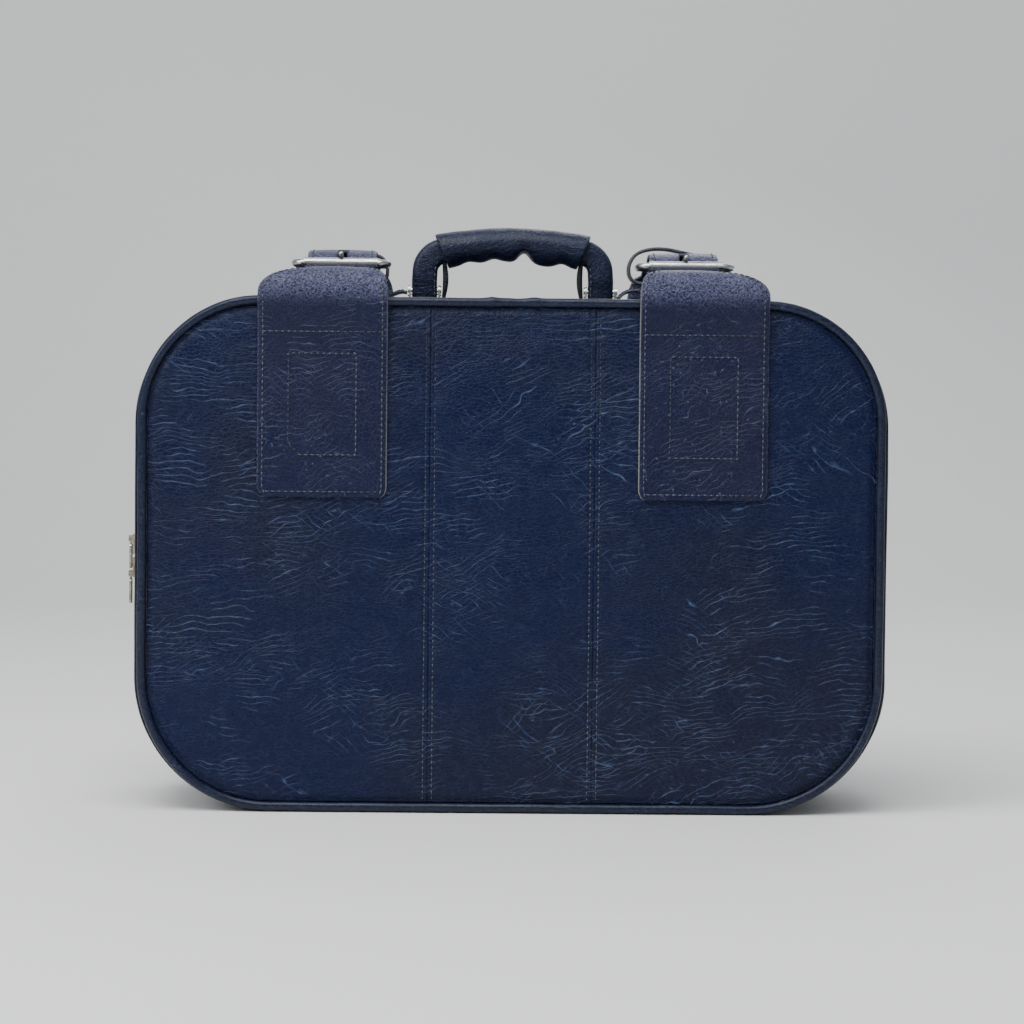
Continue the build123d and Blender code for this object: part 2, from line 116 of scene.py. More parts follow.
def directions(line: Loop, closed: bool = False) -> Loop:
    """Unit direction of travel at each point of a line."""
    count = len(line)
    found = []
    for i in range(count):
        before = line[(i - 1) % count] if closed else line[max(0, i - 1)]
        after = line[(i + 1) % count] if closed else line[min(count - 1, i + 1)]
        found.append((after - before).normalized())
    return found


def ripple(x: float, z: float, size: float, seed: float) -> float:
    """Slow unevenness of leather over a surface, from -1 to 1."""
    return noise.noise(Vector((x / size, seed, z / size)))


# ---------------------------------------------------------------------------------------------- meshes
def new_piece(name: str, verts: Iterable[Vector], faces: Sequence[Sequence[int]],
              finishes: Sequence["Finish"], marks: Sequence[int] | None = None) -> bpy.types.Object:
    """Make one mesh piece, smooth shaded, with its finishes.

    Args:
        name: The piece's name.
        verts: Its points, in metres, in the case's frame.
        faces: Its faces.
        finishes: Finishes in slot order.
        marks: The slot of each face, or none for the first slot throughout.

    Returns:
        The new object, linked to the scene.
    """
    mesh = bpy.data.meshes.new(name)
    mesh.from_pydata([tuple(v) for v in verts], [], faces)
    for finish in finishes:
        mesh.materials.append(finish.material())
    if marks is not None:
        mesh.polygons.foreach_set("material_index", marks)
    mesh.polygons.foreach_set("use_smooth", [True] * len(mesh.polygons))
    mesh.update()
    piece = bpy.data.objects.new(name, mesh)
    bpy.context.scene.collection.objects.link(piece)
    return piece


def loft(name: str, sections: Sequence[Loop], finishes: Sequence["Finish"], ring: bool = False,
         edge: Callable[[int, int], int] | None = None) -> bpy.types.Object:
    """Skin a row of closed loops, each with the same even number of points.

    Args:
        name: The piece's name.
        sections: The loops, in order.
        finishes: Finishes in slot order.
        ring: Whether the last loop joins the first; otherwise both ends are closed.
        edge: Gives a face's slot from its section and its place round the loop.

    Returns:
        The closed piece, with its faces turned outwards.
    """
    around = len(sections[0])
    verts = [p for loop in sections for p in loop]
    faces: list[tuple[int, ...]] = []
    marks: list[int] = []
    for i in range(len(sections) if ring else len(sections) - 1):
        a, b = i * around, ((i + 1) % len(sections)) * around
        for j in range(around):
            k = (j + 1) % around
            faces.append((a + j, a + k, b + k, b + j))
            marks.append(edge(i, j) if edge else 0)
    if not ring:
        last = (len(sections) - 1) * around
        half = around // 2
        for i in range(half - 1):
            j, k = around - 1 - i, around - 2 - i
            faces.append((i, j, k, i + 1))
            faces.append((last + i, last + i + 1, last + k, last + j))
            marks += [edge(-1, i) if edge else 0] * 2
    if signed_volume(verts, faces) < 0:
        faces = [tuple(reversed(f)) for f in faces]
    return new_piece(name, verts, faces, finishes, marks)


def signed_volume(verts: Sequence[Vector], faces: Sequence[Sequence[int]]) -> float:
    """Volume inside a closed mesh, negative if its faces point inwards."""
    total = 0.0
    for face in faces:
        origin = verts[face[0]]
        for i in range(1, len(face) - 1):
            total += origin.dot(verts[face[i]].cross(verts[face[i + 1]]))
    return total / 6


def round_loop(centre: Vector, across: Vector, up: Vector, count: int, power: float = 2.0) -> Loop:
    """A rounded loop about a centre.

    Args:
        centre: Its middle.
        across: Half its width, as a vector.
        up: Half its height, as a vector.
        count: Number of points, even.
        power: 2 for an ellipse, more for a squarer shape.

    Returns:
        The loop's points.
    """
    found = []
    for i in range(count):
        angle = 2 * math.pi * (i + 0.5) / count
        c, s = math.cos(angle), math.sin(angle)
        found.append(centre + across * math.copysign(abs(c) ** (2 / power), c)
                     + up * math.copysign(abs(s) ** (2 / power), s))
    return found


def set_values(piece: bpy.types.Object, name: str, values: Sequence[float]) -> None:
    """Store one number at each point, for the finish to read."""
    layer = piece.data.attributes.new(name, "FLOAT", "POINT")
    layer.data.foreach_set("value", values)


def plain_copy(piece: bpy.types.Object) -> bpy.types.Object:
    """Turn a piece's modifiers into plain mesh and remove them."""
    bpy.context.view_layer.update()
    shown = piece.evaluated_get(bpy.context.evaluated_depsgraph_get())
    mesh = bpy.data.meshes.new_from_object(shown)
    piece.modifiers.clear()
    old = piece.data
    piece.data = mesh
    mesh.name = piece.name
    bpy.data.meshes.remove(old)
    return piece


# -------------------------------------------------------------------------------------------- finishes
class Net:
    """Adds and joins the nodes of one tree."""

    def __init__(self, tree: bpy.types.NodeTree) -> None:
        """Keep the tree and empty it."""
        self.tree = tree
        tree.nodes.clear()

    def add(self, kind: str, wires: dict | None = None, **settings) -> bpy.types.Node:
        """Add a node, with its settings, and fill or join its inputs.

        Args:
            kind: The node's type.
            wires: Input name or number to a value or to another node's output.
            settings: Attributes of the node.

        Returns:
            The node.
        """
        made = self.tree.nodes.new(kind)
        for key, value in settings.items():
            setattr(made, key, value)
        for key, value in (wires or {}).items():
            socket = made.inputs[key]
            if isinstance(value, bpy.types.NodeSocket):
                self.tree.links.new(value, socket)
            else:
                socket.default_value = value
        return made

    def math(self, operation: str, a, b=0.0) -> bpy.types.NodeSocket:
        """One sum of two numbers."""
        return self.add("ShaderNodeMath", {0: a, 1: b}, operation=operation).outputs[0]

    def plus(self, a, b) -> bpy.types.NodeSocket:
        """Two numbers added."""
        return self.math("ADD", a, b)

    def minus(self, a, b) -> bpy.types.NodeSocket:
        """The second number taken from the first."""
        return self.math("SUBTRACT", a, b)

    def times(self, a, b) -> bpy.types.NodeSocket:
        """Two numbers multiplied."""
        return self.math("MULTIPLY", a, b)

    def most(self, a, b) -> bpy.types.NodeSocket:
        """The larger of two numbers."""
        return self.math("MAXIMUM", a, b)

    def least(self, a, b) -> bpy.types.NodeSocket:
        """The smaller of two numbers."""
        return self.math("MINIMUM", a, b)

    def span(self, value, low: float, high: float, to_low: float = 0.0,
             to_high: float = 1.0) -> bpy.types.NodeSocket:
        """Map a number smoothly from one span to another."""
        wires = {"Value": value, "From Min": low, "From Max": high, "To Min": to_low, "To Max": to_high}
        return self.add("ShaderNodeMapRange", wires, interpolation_type="SMOOTHSTEP").outputs[0]

    def mix(self, share, a, b) -> bpy.types.NodeSocket:
        """Blend two colours."""
        wires = {"Factor": share, 6: a, 7: b}
        return self.add("ShaderNodeMix", wires, data_type="RGBA").outputs[2]

    def noise(self, vector, scale: float, detail: float = 2.0) -> bpy.types.NodeSocket:
        """Soft noise, from 0 to 1."""
        wires = {"Vector": vector, "Scale": scale, "Detail": detail}
        return self.add("ShaderNodeTexNoise", wires).outputs["Fac"]


def group_tree(name: str, inputs: Sequence[tuple[str, str, object]], outputs: Sequence[tuple[str, str]],
               kind: str = "ShaderNodeTree") -> tuple[Net, dict, dict]:
    """Start a node group with named sockets.

    Args:
        name: The group's name.
        inputs: Name, short type and default of each input.
        outputs: Name and short type of each output.
        kind: The tree's type.

    Returns:
        The net, the inner sockets by input name, and the output node's sockets by name.
    """
    tree = bpy.data.node_groups.new(name, kind)
    net = Net(tree)
    for label, short, value in inputs:
        made = tree.interface.new_socket(label, in_out="INPUT", socket_type="NodeSocket" + short)
        if value is not None:
            made.default_value = value
    for label, short in outputs:
        tree.interface.new_socket(label, in_out="OUTPUT", socket_type="NodeSocket" + short)
    start = tree.nodes.new("NodeGroupInput")
    end = tree.nodes.new("NodeGroupOutput")
    return net, {s.name: s for s in start.outputs if s.name}, {s.name: s for s in end.inputs if s.name}


PATTERN_OUTPUTS = (("Color", "Color"), ("Roughness", "Float"), ("Height", "Float"))


def worn_leather_group() -> bpy.types.NodeTree:
    """Grain, creases with painted light along them, scuffs and colour drift of old leather, built once."""
    name = "worn_leather"
    if name in bpy.data.node_groups:
        return bpy.data.node_groups[name]
    inputs = [(label, "Color", None) for label in ("Base", "Drift", "Crease", "Worn")]
    inputs += [("Stretch", "Vector", (0.45, 1.0, 1.0)), ("Creasing", "Float", 1.0), ("Wear", "Float", 0.0),
               ("Gloss", "Float", 0.4), ("Offset", "Vector", (0.0, 0.0, 0.0))]
    net, given, out = group_tree(name, inputs, PATTERN_OUTPUTS)
    place = net.add("ShaderNodeTexCoord").outputs["Object"]
    place = net.add("ShaderNodeVectorMath", {0: place, 1: given["Offset"]}).outputs[0]
    swirl = net.add("ShaderNodeTexNoise", {"Vector": place, "Scale": 26.0, "Detail": 3.0}).outputs["Color"]
    wires = {0: swirl, 1: (0.016, 0.016, 0.016), 2: place}
    bent = net.add("ShaderNodeVectorMath", wires, operation="MULTIPLY_ADD").outputs[0]
    pulled = net.add("ShaderNodeVectorMath", {0: bent, 1: given["Stretch"]}, operation="MULTIPLY").outputs[0]

    def wrinkles(angle: float, rows: float, sway: float, width: float):
        """Long wavy lines, side by side, that run across a turned direction."""
        wires = {"Vector": bent, "Angle": angle}
        turned = net.add("ShaderNodeVectorRotate", wires, rotation_type="Y_AXIS").outputs[0]
        wires = {0: turned, 1: given["Stretch"]}
        drawn = net.add("ShaderNodeVectorMath", wires, operation="MULTIPLY").outputs[0]
        up = net.add("ShaderNodeSeparateXYZ", {0: turned}).outputs[2]
        phase = net.plus(net.times(up, rows), net.times(net.noise(drawn, 30.0, 3.0), sway))
        line = net.span(net.math("PINGPONG", phase, 0.5), 0.0, width, 1.0, 0.0)
        return net.times(line, net.span(net.noise(drawn, 66.0, 1.0), 0.44, 0.58))

    def gate(scale: float, low: float, high: float):
        """Soft patches where a kind of line shows."""
        return net.span(net.noise(place, scale, 2.0), low, high)

    long = net.times(wrinkles(0.05, 300.0, 8.0, 0.13), gate(11.0, 0.40, 0.60))
    rising = net.times(wrinkles(0.5, 270.0, 9.0, 0.11), gate(14.0, 0.46, 0.62))
    falling = net.times(wrinkles(-0.55, 270.0, 9.0, 0.11), gate(16.0, 0.47, 0.63))
    wires = {"Vector": pulled, "Scale": 520.0}
    cell = net.add("ShaderNodeTexVoronoi", wires, feature="DISTANCE_TO_EDGE").outputs["Distance"]
    hair = net.span(cell, 0.0, 0.14, 1.0, 0.0)
    broken = net.span(net.noise(bent, 150.0, 2.0), 0.36, 0.60, 0.45, 1.0)
    strong = net.most(long, net.most(rising, falling))
    strong = net.times(strong, net.times(broken, given["Creasing"]))
    faint = net.times(hair, 0.10)
    # This mask drives both the painted light along the creases and their roughness.
    crease = net.least(net.most(strong, faint), 1.0)
    drift = net.span(net.noise(place, 6.5, 3.0), 0.38, 0.66)
    colour = net.mix(drift, given["Base"], given["Drift"])
    # Painted highlight: the creases are painted in a paler colour, standing for light caught on their ridges.
    pale = net.times(crease, net.span(net.noise(bent, 190.0, 2.0), 0.35, 0.65, 0.35, 1.0))
    colour = net.mix(pale, colour, given["Crease"])
    scuff = net.span(net.noise(pulled, 420.0, 4.0), 0.62, 0.74)
    scuff = net.times(scuff, net.span(net.noise(place, 14.0, 1.0), 0.5, 0.68, 0.05, 0.45))
    crackle = net.plus(net.times(hair, 0.5), net.span(net.noise(bent, 900.0, 3.0), 0.35, 0.65))
    # The piece's own values paint the rubbed colour; on the panels they rise towards the top, a painted
    # highlight for the light from above.
    rub_and_highlight = net.times(given["Wear"], net.times(crackle, 0.75))
    worn = net.least(net.plus(scuff, rub_and_highlight), 1.0)
    net.tree.links.new(net.mix(worn, colour, given["Worn"]), out["Color"])
    dull = net.plus(given["Gloss"], net.span(net.noise(place, 34.0, 3.0), 0.3, 0.7, -0.07, 0.10))
    dull = net.plus(dull, net.times(crease, 0.12))
    net.tree.links.new(dull, out["Roughness"])
    wires = {"Vector": bent, "Scale": 900.0}
    grain = net.add("ShaderNodeTexVoronoi", wires, feature="SMOOTH_F1").outputs["Distance"]
    height = net.times(grain, -0.34)
    height = net.plus(height, net.times(net.noise(pulled, 60.0, 3.0), 1.5))
    height = net.plus(height, net.times(strong, 0.75))
    height = net.minus(height, net.times(hair, 0.12))
    net.tree.links.new(height, out["Height"])
    return net.tree


def scratched_metal_group() -> bpy.types.NodeTree:
    """Fine scratches, dull patches and tarnish of plated metal, built once."""
    name = "scratched_metal"
    if name in bpy.data.node_groups:
        return bpy.data.node_groups[name]
    inputs = [("Base", "Color", None), ("Tarnish", "Color", None), ("Age", "Float", 0.4)]
    net, given, out = group_tree(name, inputs, PATTERN_OUTPUTS)
    place = net.add("ShaderNodeTexCoord").outputs["Object"]
    wires = {0: place, 1: (60.0, 900.0, 900.0)}
    drawn = net.add("ShaderNodeVectorMath", wires, operation="MULTIPLY").outputs[0]
    lines = net.noise(drawn, 1.0, 3.0)
    spots = net.span(net.noise(place, 420.0, 4.0), 0.5, 0.68)
    blotch = net.span(net.noise(place, 120.0, 3.0), 0.42, 0.64)
    aged = net.times(net.most(spots, blotch), given["Age"])
    net.tree.links.new(net.mix(aged, given["Base"], given["Tarnish"]), out["Color"])
    dull = net.plus(net.span(lines, 0.3, 0.7, 0.14, 0.30), net.times(aged, 0.3))
    net.tree.links.new(dull, out["Roughness"])
    net.tree.links.new(net.plus(lines, net.times(spots, -0.5)), out["Height"])
    return net.tree


def weave_group() -> bpy.types.NodeTree:
    """Plain weave of crossing threads, built once."""
    name = "plain_weave"
    if name in bpy.data.node_groups:
        return bpy.data.node_groups[name]
    inputs = [("Base", "Color", None), ("Shade", "Color", None), ("Threads", "Float", 400.0)]
    net, given, out = group_tree(name, inputs, PATTERN_OUTPUTS)
    place = net.add("ShaderNodeTexCoord").outputs["Object"]
    waves = []
    for way in "XYZ":
        wires = {"Vector": place, "Scale": given["Threads"], "Distortion": 0.4, "Detail": 1.0}
        waves.append(net.add("ShaderNodeTexWave", wires, bands_direction=way).outputs["Fac"])
    height = net.most(net.most(waves[0], waves[1]), waves[2])
    fuzz = net.noise(place, 900.0, 3.0)
    net.tree.links.new(height, out["Height"])
    tone = net.times(net.plus(height, fuzz), 0.5)
    slow = net.span(net.noise(place, 18.0, 2.0), 0.35, 0.65, 0.75, 1.0)
    net.tree.links.new(net.mix(net.times(tone, slow), given["Shade"], given["Base"]), out["Color"])
    net.tree.links.new(net.span(fuzz, 0.3, 0.7, 0.72, 0.92), out["Roughness"])
    return net.tree


class Surface(Enum):
    """Kinds of surface that a finish can have."""

    LEATHER = "leather"
    METAL = "metal"
    WEAVE = "weave"


@dataclass(frozen=True)
class Finish:
    """One finish: its surface kind, its colours and how strongly it is worn.

    Attributes:
        name: Name of the material.
        slot: The record's material slot.
        surface: Kind of surface.
        base: Main colour.
        drift: Second colour, which the main one drifts to.
        crease: Colour painted along the creases as light and shade: a painted highlight where it is paler
            than the base, painted shade where it is darker.
        worn: Colour of rubbed places; on the panels it is also painted, paler towards the top, as a
            highlight.
        stretch: How much the crease pattern is squeezed along each axis.
        creasing: Strength of the creases.
        gloss: Mean roughness.
        relief: Height of the relief, in metres.
        coat: Weight of the polish.
        wear_layer: Name of the piece's own values of rubbing, which on the panels also paint a lighter top as
            a highlight, or none.
        offset: Shift of the pattern, so that no two pieces match.
    """

    name: str
    slot: str
    surface: Surface
    base: Colour
    drift: Colour = (0.0, 0.0, 0.0)
    crease: Colour = (0.0, 0.0, 0.0)
    worn: Colour = (0.0, 0.0, 0.0)
    stretch: Colour = (0.45, 1.0, 1.0)
    creasing: float = 1.0
    gloss: float = 0.4
    relief: float = 0.0005
    coat: float = 0.0
    wear_layer: str = ""
    offset: Colour = (0.0, 0.0, 0.0)

    def material(self) -> bpy.types.Material:
        """Build the material the first time it is asked for."""
        label = f"{self.name}_finish"
        if label in bpy.data.materials:
            return bpy.data.materials[label]
        made = bpy.data.materials.new(label)
        made.use_nodes = True
        net = Net(made.node_tree)
        pattern = self.pattern(net)
        bump = net.add("ShaderNodeBump", {"Strength": 1.0, "Distance": self.relief,
                                          "Height": pattern.outputs["Height"]})
        wires = {"Base Color": pattern.outputs["Color"], "Roughness": pattern.outputs["Roughness"],
                 "Normal": bump.outputs[0], "Metallic": 1.0 if self.surface is Surface.METAL else 0.0,
                 "Coat Weight": self.coat, "Coat Roughness": 0.28}
        shader = net.add("ShaderNodeBsdfPrincipled", wires)
        shader.inputs["Specular IOR Level"].default_value = 0.16 if self.surface is Surface.LEATHER else 0.5
        if self.surface is Surface.WEAVE:
            shader.inputs["Sheen Weight"].default_value = 0.3
        net.add("ShaderNodeOutputMaterial", {"Surface": shader.outputs[0]})
        made.diffuse_color = (*self.base, 1.0)
        return made

    def pattern(self, net: Net) -> bpy.types.Node:
        """Place the shared group for this surface, with this finish's own values."""
        if self.surface is Surface.METAL:
            tree, wires = scratched_metal_group(), {"Base": (*self.base, 1), "Tarnish": (*self.drift, 1)}
            wires["Age"] = self.creasing
        elif self.surface is Surface.WEAVE:
            tree, wires = weave_group(), {"Base": (*self.base, 1), "Shade": (*self.drift, 1)}
        else:
            tree = worn_leather_group()
            wires = {"Base": (*self.base, 1), "Drift": (*self.drift, 1), "Crease": (*self.crease, 1),
                     "Worn": (*self.worn, 1), "Stretch": self.stretch, "Creasing": self.creasing,
                     "Gloss": self.gloss, "Offset": self.offset}
            if self.wear_layer:
                wires["Wear"] = net.add("ShaderNodeAttribute", attribute_name=self.wear_layer).outputs["Fac"]
        return net.add("ShaderNodeGroup", wires, node_tree=tree)


NAVY = (0.0024, 0.0056, 0.0330)
NAVY_DRIFT = (0.0052, 0.0072, 0.0240)
# Painted highlight: the pale blue that the creases of the navy leather are lit up in.
CREASE_HIGHLIGHT_BLUE = (0.070, 0.110, 0.220)
RUBBED = (0.09, 0.11, 0.17)
BLUE_BLACK = {"base": (0.0025, 0.0055, 0.022), "drift": (0.004, 0.006, 0.018), "wear_layer": "wear"}


def leather(name: str, slot: str, **changes) -> Finish:
    """A navy leather finish with some of its values changed."""
    values = {"base": NAVY, "drift": NAVY_DRIFT, "crease": CREASE_HIGHLIGHT_BLUE, "worn": RUBBED, "gloss": 0.33,
              "coat": 0.03, "relief": 0.0008}
    values.update(changes)
    return Finish(name, slot, Surface.LEATHER, **values)


PANEL = leather("panel_leather", "navy_leather", wear_layer="wear")
BAND = leather("band_leather", "band_leather", creasing=0.3, gloss=0.30, coat=0.12, offset=(0.3, 0.1, 0.2),
               **BLUE_BLACK)
PIPING = leather("piping_leather", "band_leather", creasing=0.25, gloss=0.28, coat=0.15, relief=0.0003,
                 offset=(0.1, 0.4, 0.3), **BLUE_BLACK)
# The crease colours below are painted light: paler than the base as a highlight on the strap and pad leather,
# darker than the base as shade on the cut edge.
STRAP = leather("strap_leather", "strap_leather", creasing=0.75, gloss=0.34, stretch=(0.8, 1.0, 0.8),
                base=(0.0036, 0.0070, 0.032), drift=(0.0070, 0.0080, 0.030), crease=(0.060, 0.082, 0.160),
                wear_layer="wear", worn=(0.17, 0.175, 0.29), offset=(0.5, 0.2, 0.1))
HANDLE = leather("handle_leather", "handle_leather", creasing=0.45, gloss=0.30, coat=0.12,
                 stretch=(1.0, 1.0, 0.7), base=(0.0055, 0.0095, 0.028), offset=(0.7, 0.1, 0.4),
                 wear_layer="wear")
PAD = leather("pad_leather", "pad_leather", base=(0.022, 0.028, 0.030), drift=(0.014, 0.018, 0.022),
              crease=(0.07, 0.08, 0.08), creasing=0.8, gloss=0.55, coat=0.0)
CUT_EDGE = leather("cut_leather_edge", "strap_leather", base=(0.20, 0.20, 0.19), drift=(0.07, 0.075, 0.09),
                   crease=(0.03, 0.03, 0.035), worn=(0.34, 0.33, 0.31), gloss=0.7, coat=0.0)
THREAD = Finish("waxed_thread", "strap_leather", Surface.WEAVE, (0.095, 0.125, 0.19), (0.035, 0.048, 0.085),
                relief=0.0001)
# Painted shade: near-black marks set between the stitches stand for the shade inside the needle holes.
HOLE_SHADOW = Finish("needle_hole_shadows", "strap_leather", Surface.WEAVE, (0.0012, 0.0015, 0.003), (0.0008, 0.001, 0.002),
              relief=0.0001)
LINING = Finish("lining_weave", "lining_cloth", Surface.WEAVE, (0.20, 0.18, 0.15), (0.09, 0.08, 0.065),
                relief=0.0002)
TAPE = Finish("zip_tape_weave", "zip_tape", Surface.WEAVE, (0.020, 0.022, 0.034), (0.006, 0.007, 0.012),
              relief=0.0002)
NICKEL = Finish("dull_nickel", "nickel_steel", Surface.METAL, (0.56, 0.57, 0.55), (0.26, 0.28, 0.27),
                creasing=0.45, relief=0.00005)
ZIP_METAL = Finish("aged_zip_metal", "zip_metal", Surface.METAL, (0.50, 0.46, 0.36), (0.20, 0.17, 0.12),
                   creasing=0.7, relief=0.00005)
STEEL = Finish("mill_steel", "plain_steel", Surface.METAL, (0.46, 0.46, 0.47), (0.25, 0.23, 0.21),
               creasing=0.6, relief=0.00005)
BOARD = Finish("brown_board", "fibreboard", Surface.WEAVE, (0.20, 0.13, 0.075), (0.13, 0.085, 0.05),
               relief=0.0001)
WADDING = Finish("cream_wadding", "foam_padding", Surface.WEAVE, (0.62, 0.57, 0.45), (0.45, 0.40, 0.30),
                 relief=0.0004)
CORD = Finish("cotton_cord", "piping_cord", Surface.WEAVE, (0.52, 0.47, 0.38), (0.36, 0.31, 0.24),
              relief=0.0003)


# -------------------------------------------------------------------------------- repeated small pieces
class Repeat(Enum):
    """The small shapes that are set out along lines or at points."""

    STITCH = "stitch"
    TOOTH = "zip_tooth"
    RIVET = "rivet"


def repeat_tree(shape: Repeat) -> bpy.types.NodeTree:
    """Geometry Nodes tree that sets one small shape along an edge line, or at loose points.

    Args:
        shape: Which shape; a stitch and a zip tooth follow lines, a rivet sits at points.

    Returns:
        The tree, with named inputs for its sizes.
    """
    name = f"set_out_{shape.value}"
    if name in bpy.data.node_groups:
        return bpy.data.node_groups[name]
    inputs = [("Geometry", "Geometry", None), ("Pitch", "Float", 0.0035), ("Long", "Float", 0.0026),
              ("Wide", "Float", 0.0008), ("Tall", "Float", 0.0008), ("Uneven", "Float", 0.1),
              ("Material", "Material", None)]
    net, given, out = group_tree(name, inputs, [("Geometry", "Geometry")], "GeometryNodeTree")
    if shape is Repeat.RIVET:
        points = given["Geometry"]
        turn = net.add("FunctionNodeEulerToRotation").outputs[0]
    else:
        line = net.add("GeometryNodeMeshToCurve", {"Mesh": given["Geometry"]}).outputs[0]
        wires = {"Curve": line, "Length": given["Pitch"]}
        points = net.add("GeometryNodeResampleCurve", wires, mode="LENGTH").outputs[0]
        way = net.add("GeometryNodeInputTangent").outputs[0]
        along = net.add("FunctionNodeAlignRotationToVector", {"Vector": way}, axis="X").outputs[0]
        wires = {"Rotation": along, "Vector": (0.0, 1.0, 0.0)}
        turn = net.add("FunctionNodeAlignRotationToVector", wires, axis="Y", pivot_axis="X").outputs[0]
    if shape is Repeat.TOOTH:
        made = net.add("GeometryNodeMeshCube", {"Size": (1.0, 1.0, 1.0)}).outputs["Mesh"]
    else:
        segments, rings = (8, 5) if shape is Repeat.STITCH else (20, 10)
        wires = {"Segments": segments, "Rings": rings, "Radius": 0.5}
        made = net.add("GeometryNodeMeshUVSphere", wires).outputs["Mesh"]
    low = net.minus(1.0, given["Uneven"])
    high = net.plus(1.0, given["Uneven"])
    wires = {2: low, 3: high, "Seed": 7}
    chance = net.add("FunctionNodeRandomValue", wires, data_type="FLOAT").outputs[1]
    sizes = [net.times(given["Long"], chance), given["Wide"], given["Tall"]]
    size = net.add("ShaderNodeCombineXYZ", dict(enumerate(sizes))).outputs[0]
    wires = {"Points": points, "Instance": made, "Rotation": turn, "Scale": size}
    placed = net.add("GeometryNodeInstanceOnPoints", wires).outputs[0]
    solid = net.add("GeometryNodeRealizeInstances", {"Geometry": placed}).outputs[0]
    if shape is not Repeat.TOOTH:
        solid = net.add("GeometryNodeSetShadeSmooth", {"Geometry": solid}).outputs[0]
    wires = {"Geometry": solid, "Material": given["Material"]}
    dressed = net.add("GeometryNodeSetMaterial", wires).outputs[0]
    net.tree.links.new(dressed, out["Geometry"])
    return net.tree


def set_out(name: str, shape: Repeat, lines: Sequence[Loop], finish: Finish,
            **sizes: float) -> bpy.types.Object:
    """Set a small shape out along lines, or at points, and keep the result as plain mesh.

    Args:
        name: The piece's name.
        shape: Which shape.
        lines: Lines to follow; for rivets, the points of every line.
        finish: The pieces' finish.
        sizes: The tree's inputs by name, in metres.

    Returns:
        One mesh of all the shapes.
    """
    verts = [p for line in lines for p in line]
    edges = []
    start = 0
    for line in lines:
        if shape is not Repeat.RIVET:
            edges += [(start + i, start + i + 1) for i in range(len(line) - 1)]
        start += len(line)
    mesh = bpy.data.meshes.new(name)
    mesh.from_pydata([tuple(v) for v in verts], edges, [])
    piece = bpy.data.objects.new(name, mesh)
    bpy.context.scene.collection.objects.link(piece)
    modifier = piece.modifiers.new("set_out", "NODES")
    modifier.node_group = repeat_tree(shape)
    sockets = {s.name: s.identifier for s in modifier.node_group.interface.items_tree if s.in_out == "INPUT"}
    for key, value in sizes.items():
        modifier[sockets[key]] = value
    modifier[sockets["Material"]] = finish.material()
    return plain_copy(piece)


STITCH_PITCH = 3.6 * MM
THREAD_SIZE = {"Long": 2.0 * MM, "Wide": 0.80 * MM, "Tall": 0.7 * MM, "Uneven": 0.15}
HOLE_SHADOW_SIZE = {"Long": 2.2 * MM, "Wide": 1.25 * MM, "Tall": 0.6 * MM, "Uneven": 0.15}


def stitch(name: str, lines: Sequence[Loop], body: str) -> None:
    """Sew rows of thread along lines, with near-black marks between the stitches, painted shade where the
    needle went through.

    Args:
        name: The name of the thread; the name of the painted shade marks is made from it.
        lines: The rows to sew.
        body: The body that the rows move with.
    """
    thread = set_out(name, Repeat.STITCH, lines, THREAD, Pitch=STITCH_PITCH, **THREAD_SIZE)
    finish_piece(thread, body, THREAD.slot)
    shifted = []
    for line in lines:
        along, k = 0.0, 0
        while along < STITCH_PITCH / 2 and k < len(line) - 2:
            along += (line[k + 1] - line[k]).length
            k += 1
        shifted.append(line[k:])
    # Painted shade: near-black marks for the needle holes, half a pitch along from the thread.
    hole_shadows = set_out(f"{name}_holes", Repeat.STITCH, shifted, HOLE_SHADOW, Pitch=STITCH_PITCH, **HOLE_SHADOW_SIZE)
    finish_piece(hole_shadows, body, HOLE_SHADOW.slot)


def finish_piece(piece: bpy.types.Object, body: str, slot: str, *replaced: str) -> bpy.types.Object:
    """Give a finished piece its body, and hide the CAD nodes that it stands for."""
    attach(piece, body)
    if replaced:
        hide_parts(*replaced)
    LOG.info("made %s: %d faces, moves with %s", piece.name, len(piece.data.polygons), body)
    return piece


# ---------------------------------------------------------------------------------------------- outline
def mm(x: float, y: float, z: float) -> Vector:
    """A point given in millimetres, as metres."""
    return Vector((x, y, z)) * MM


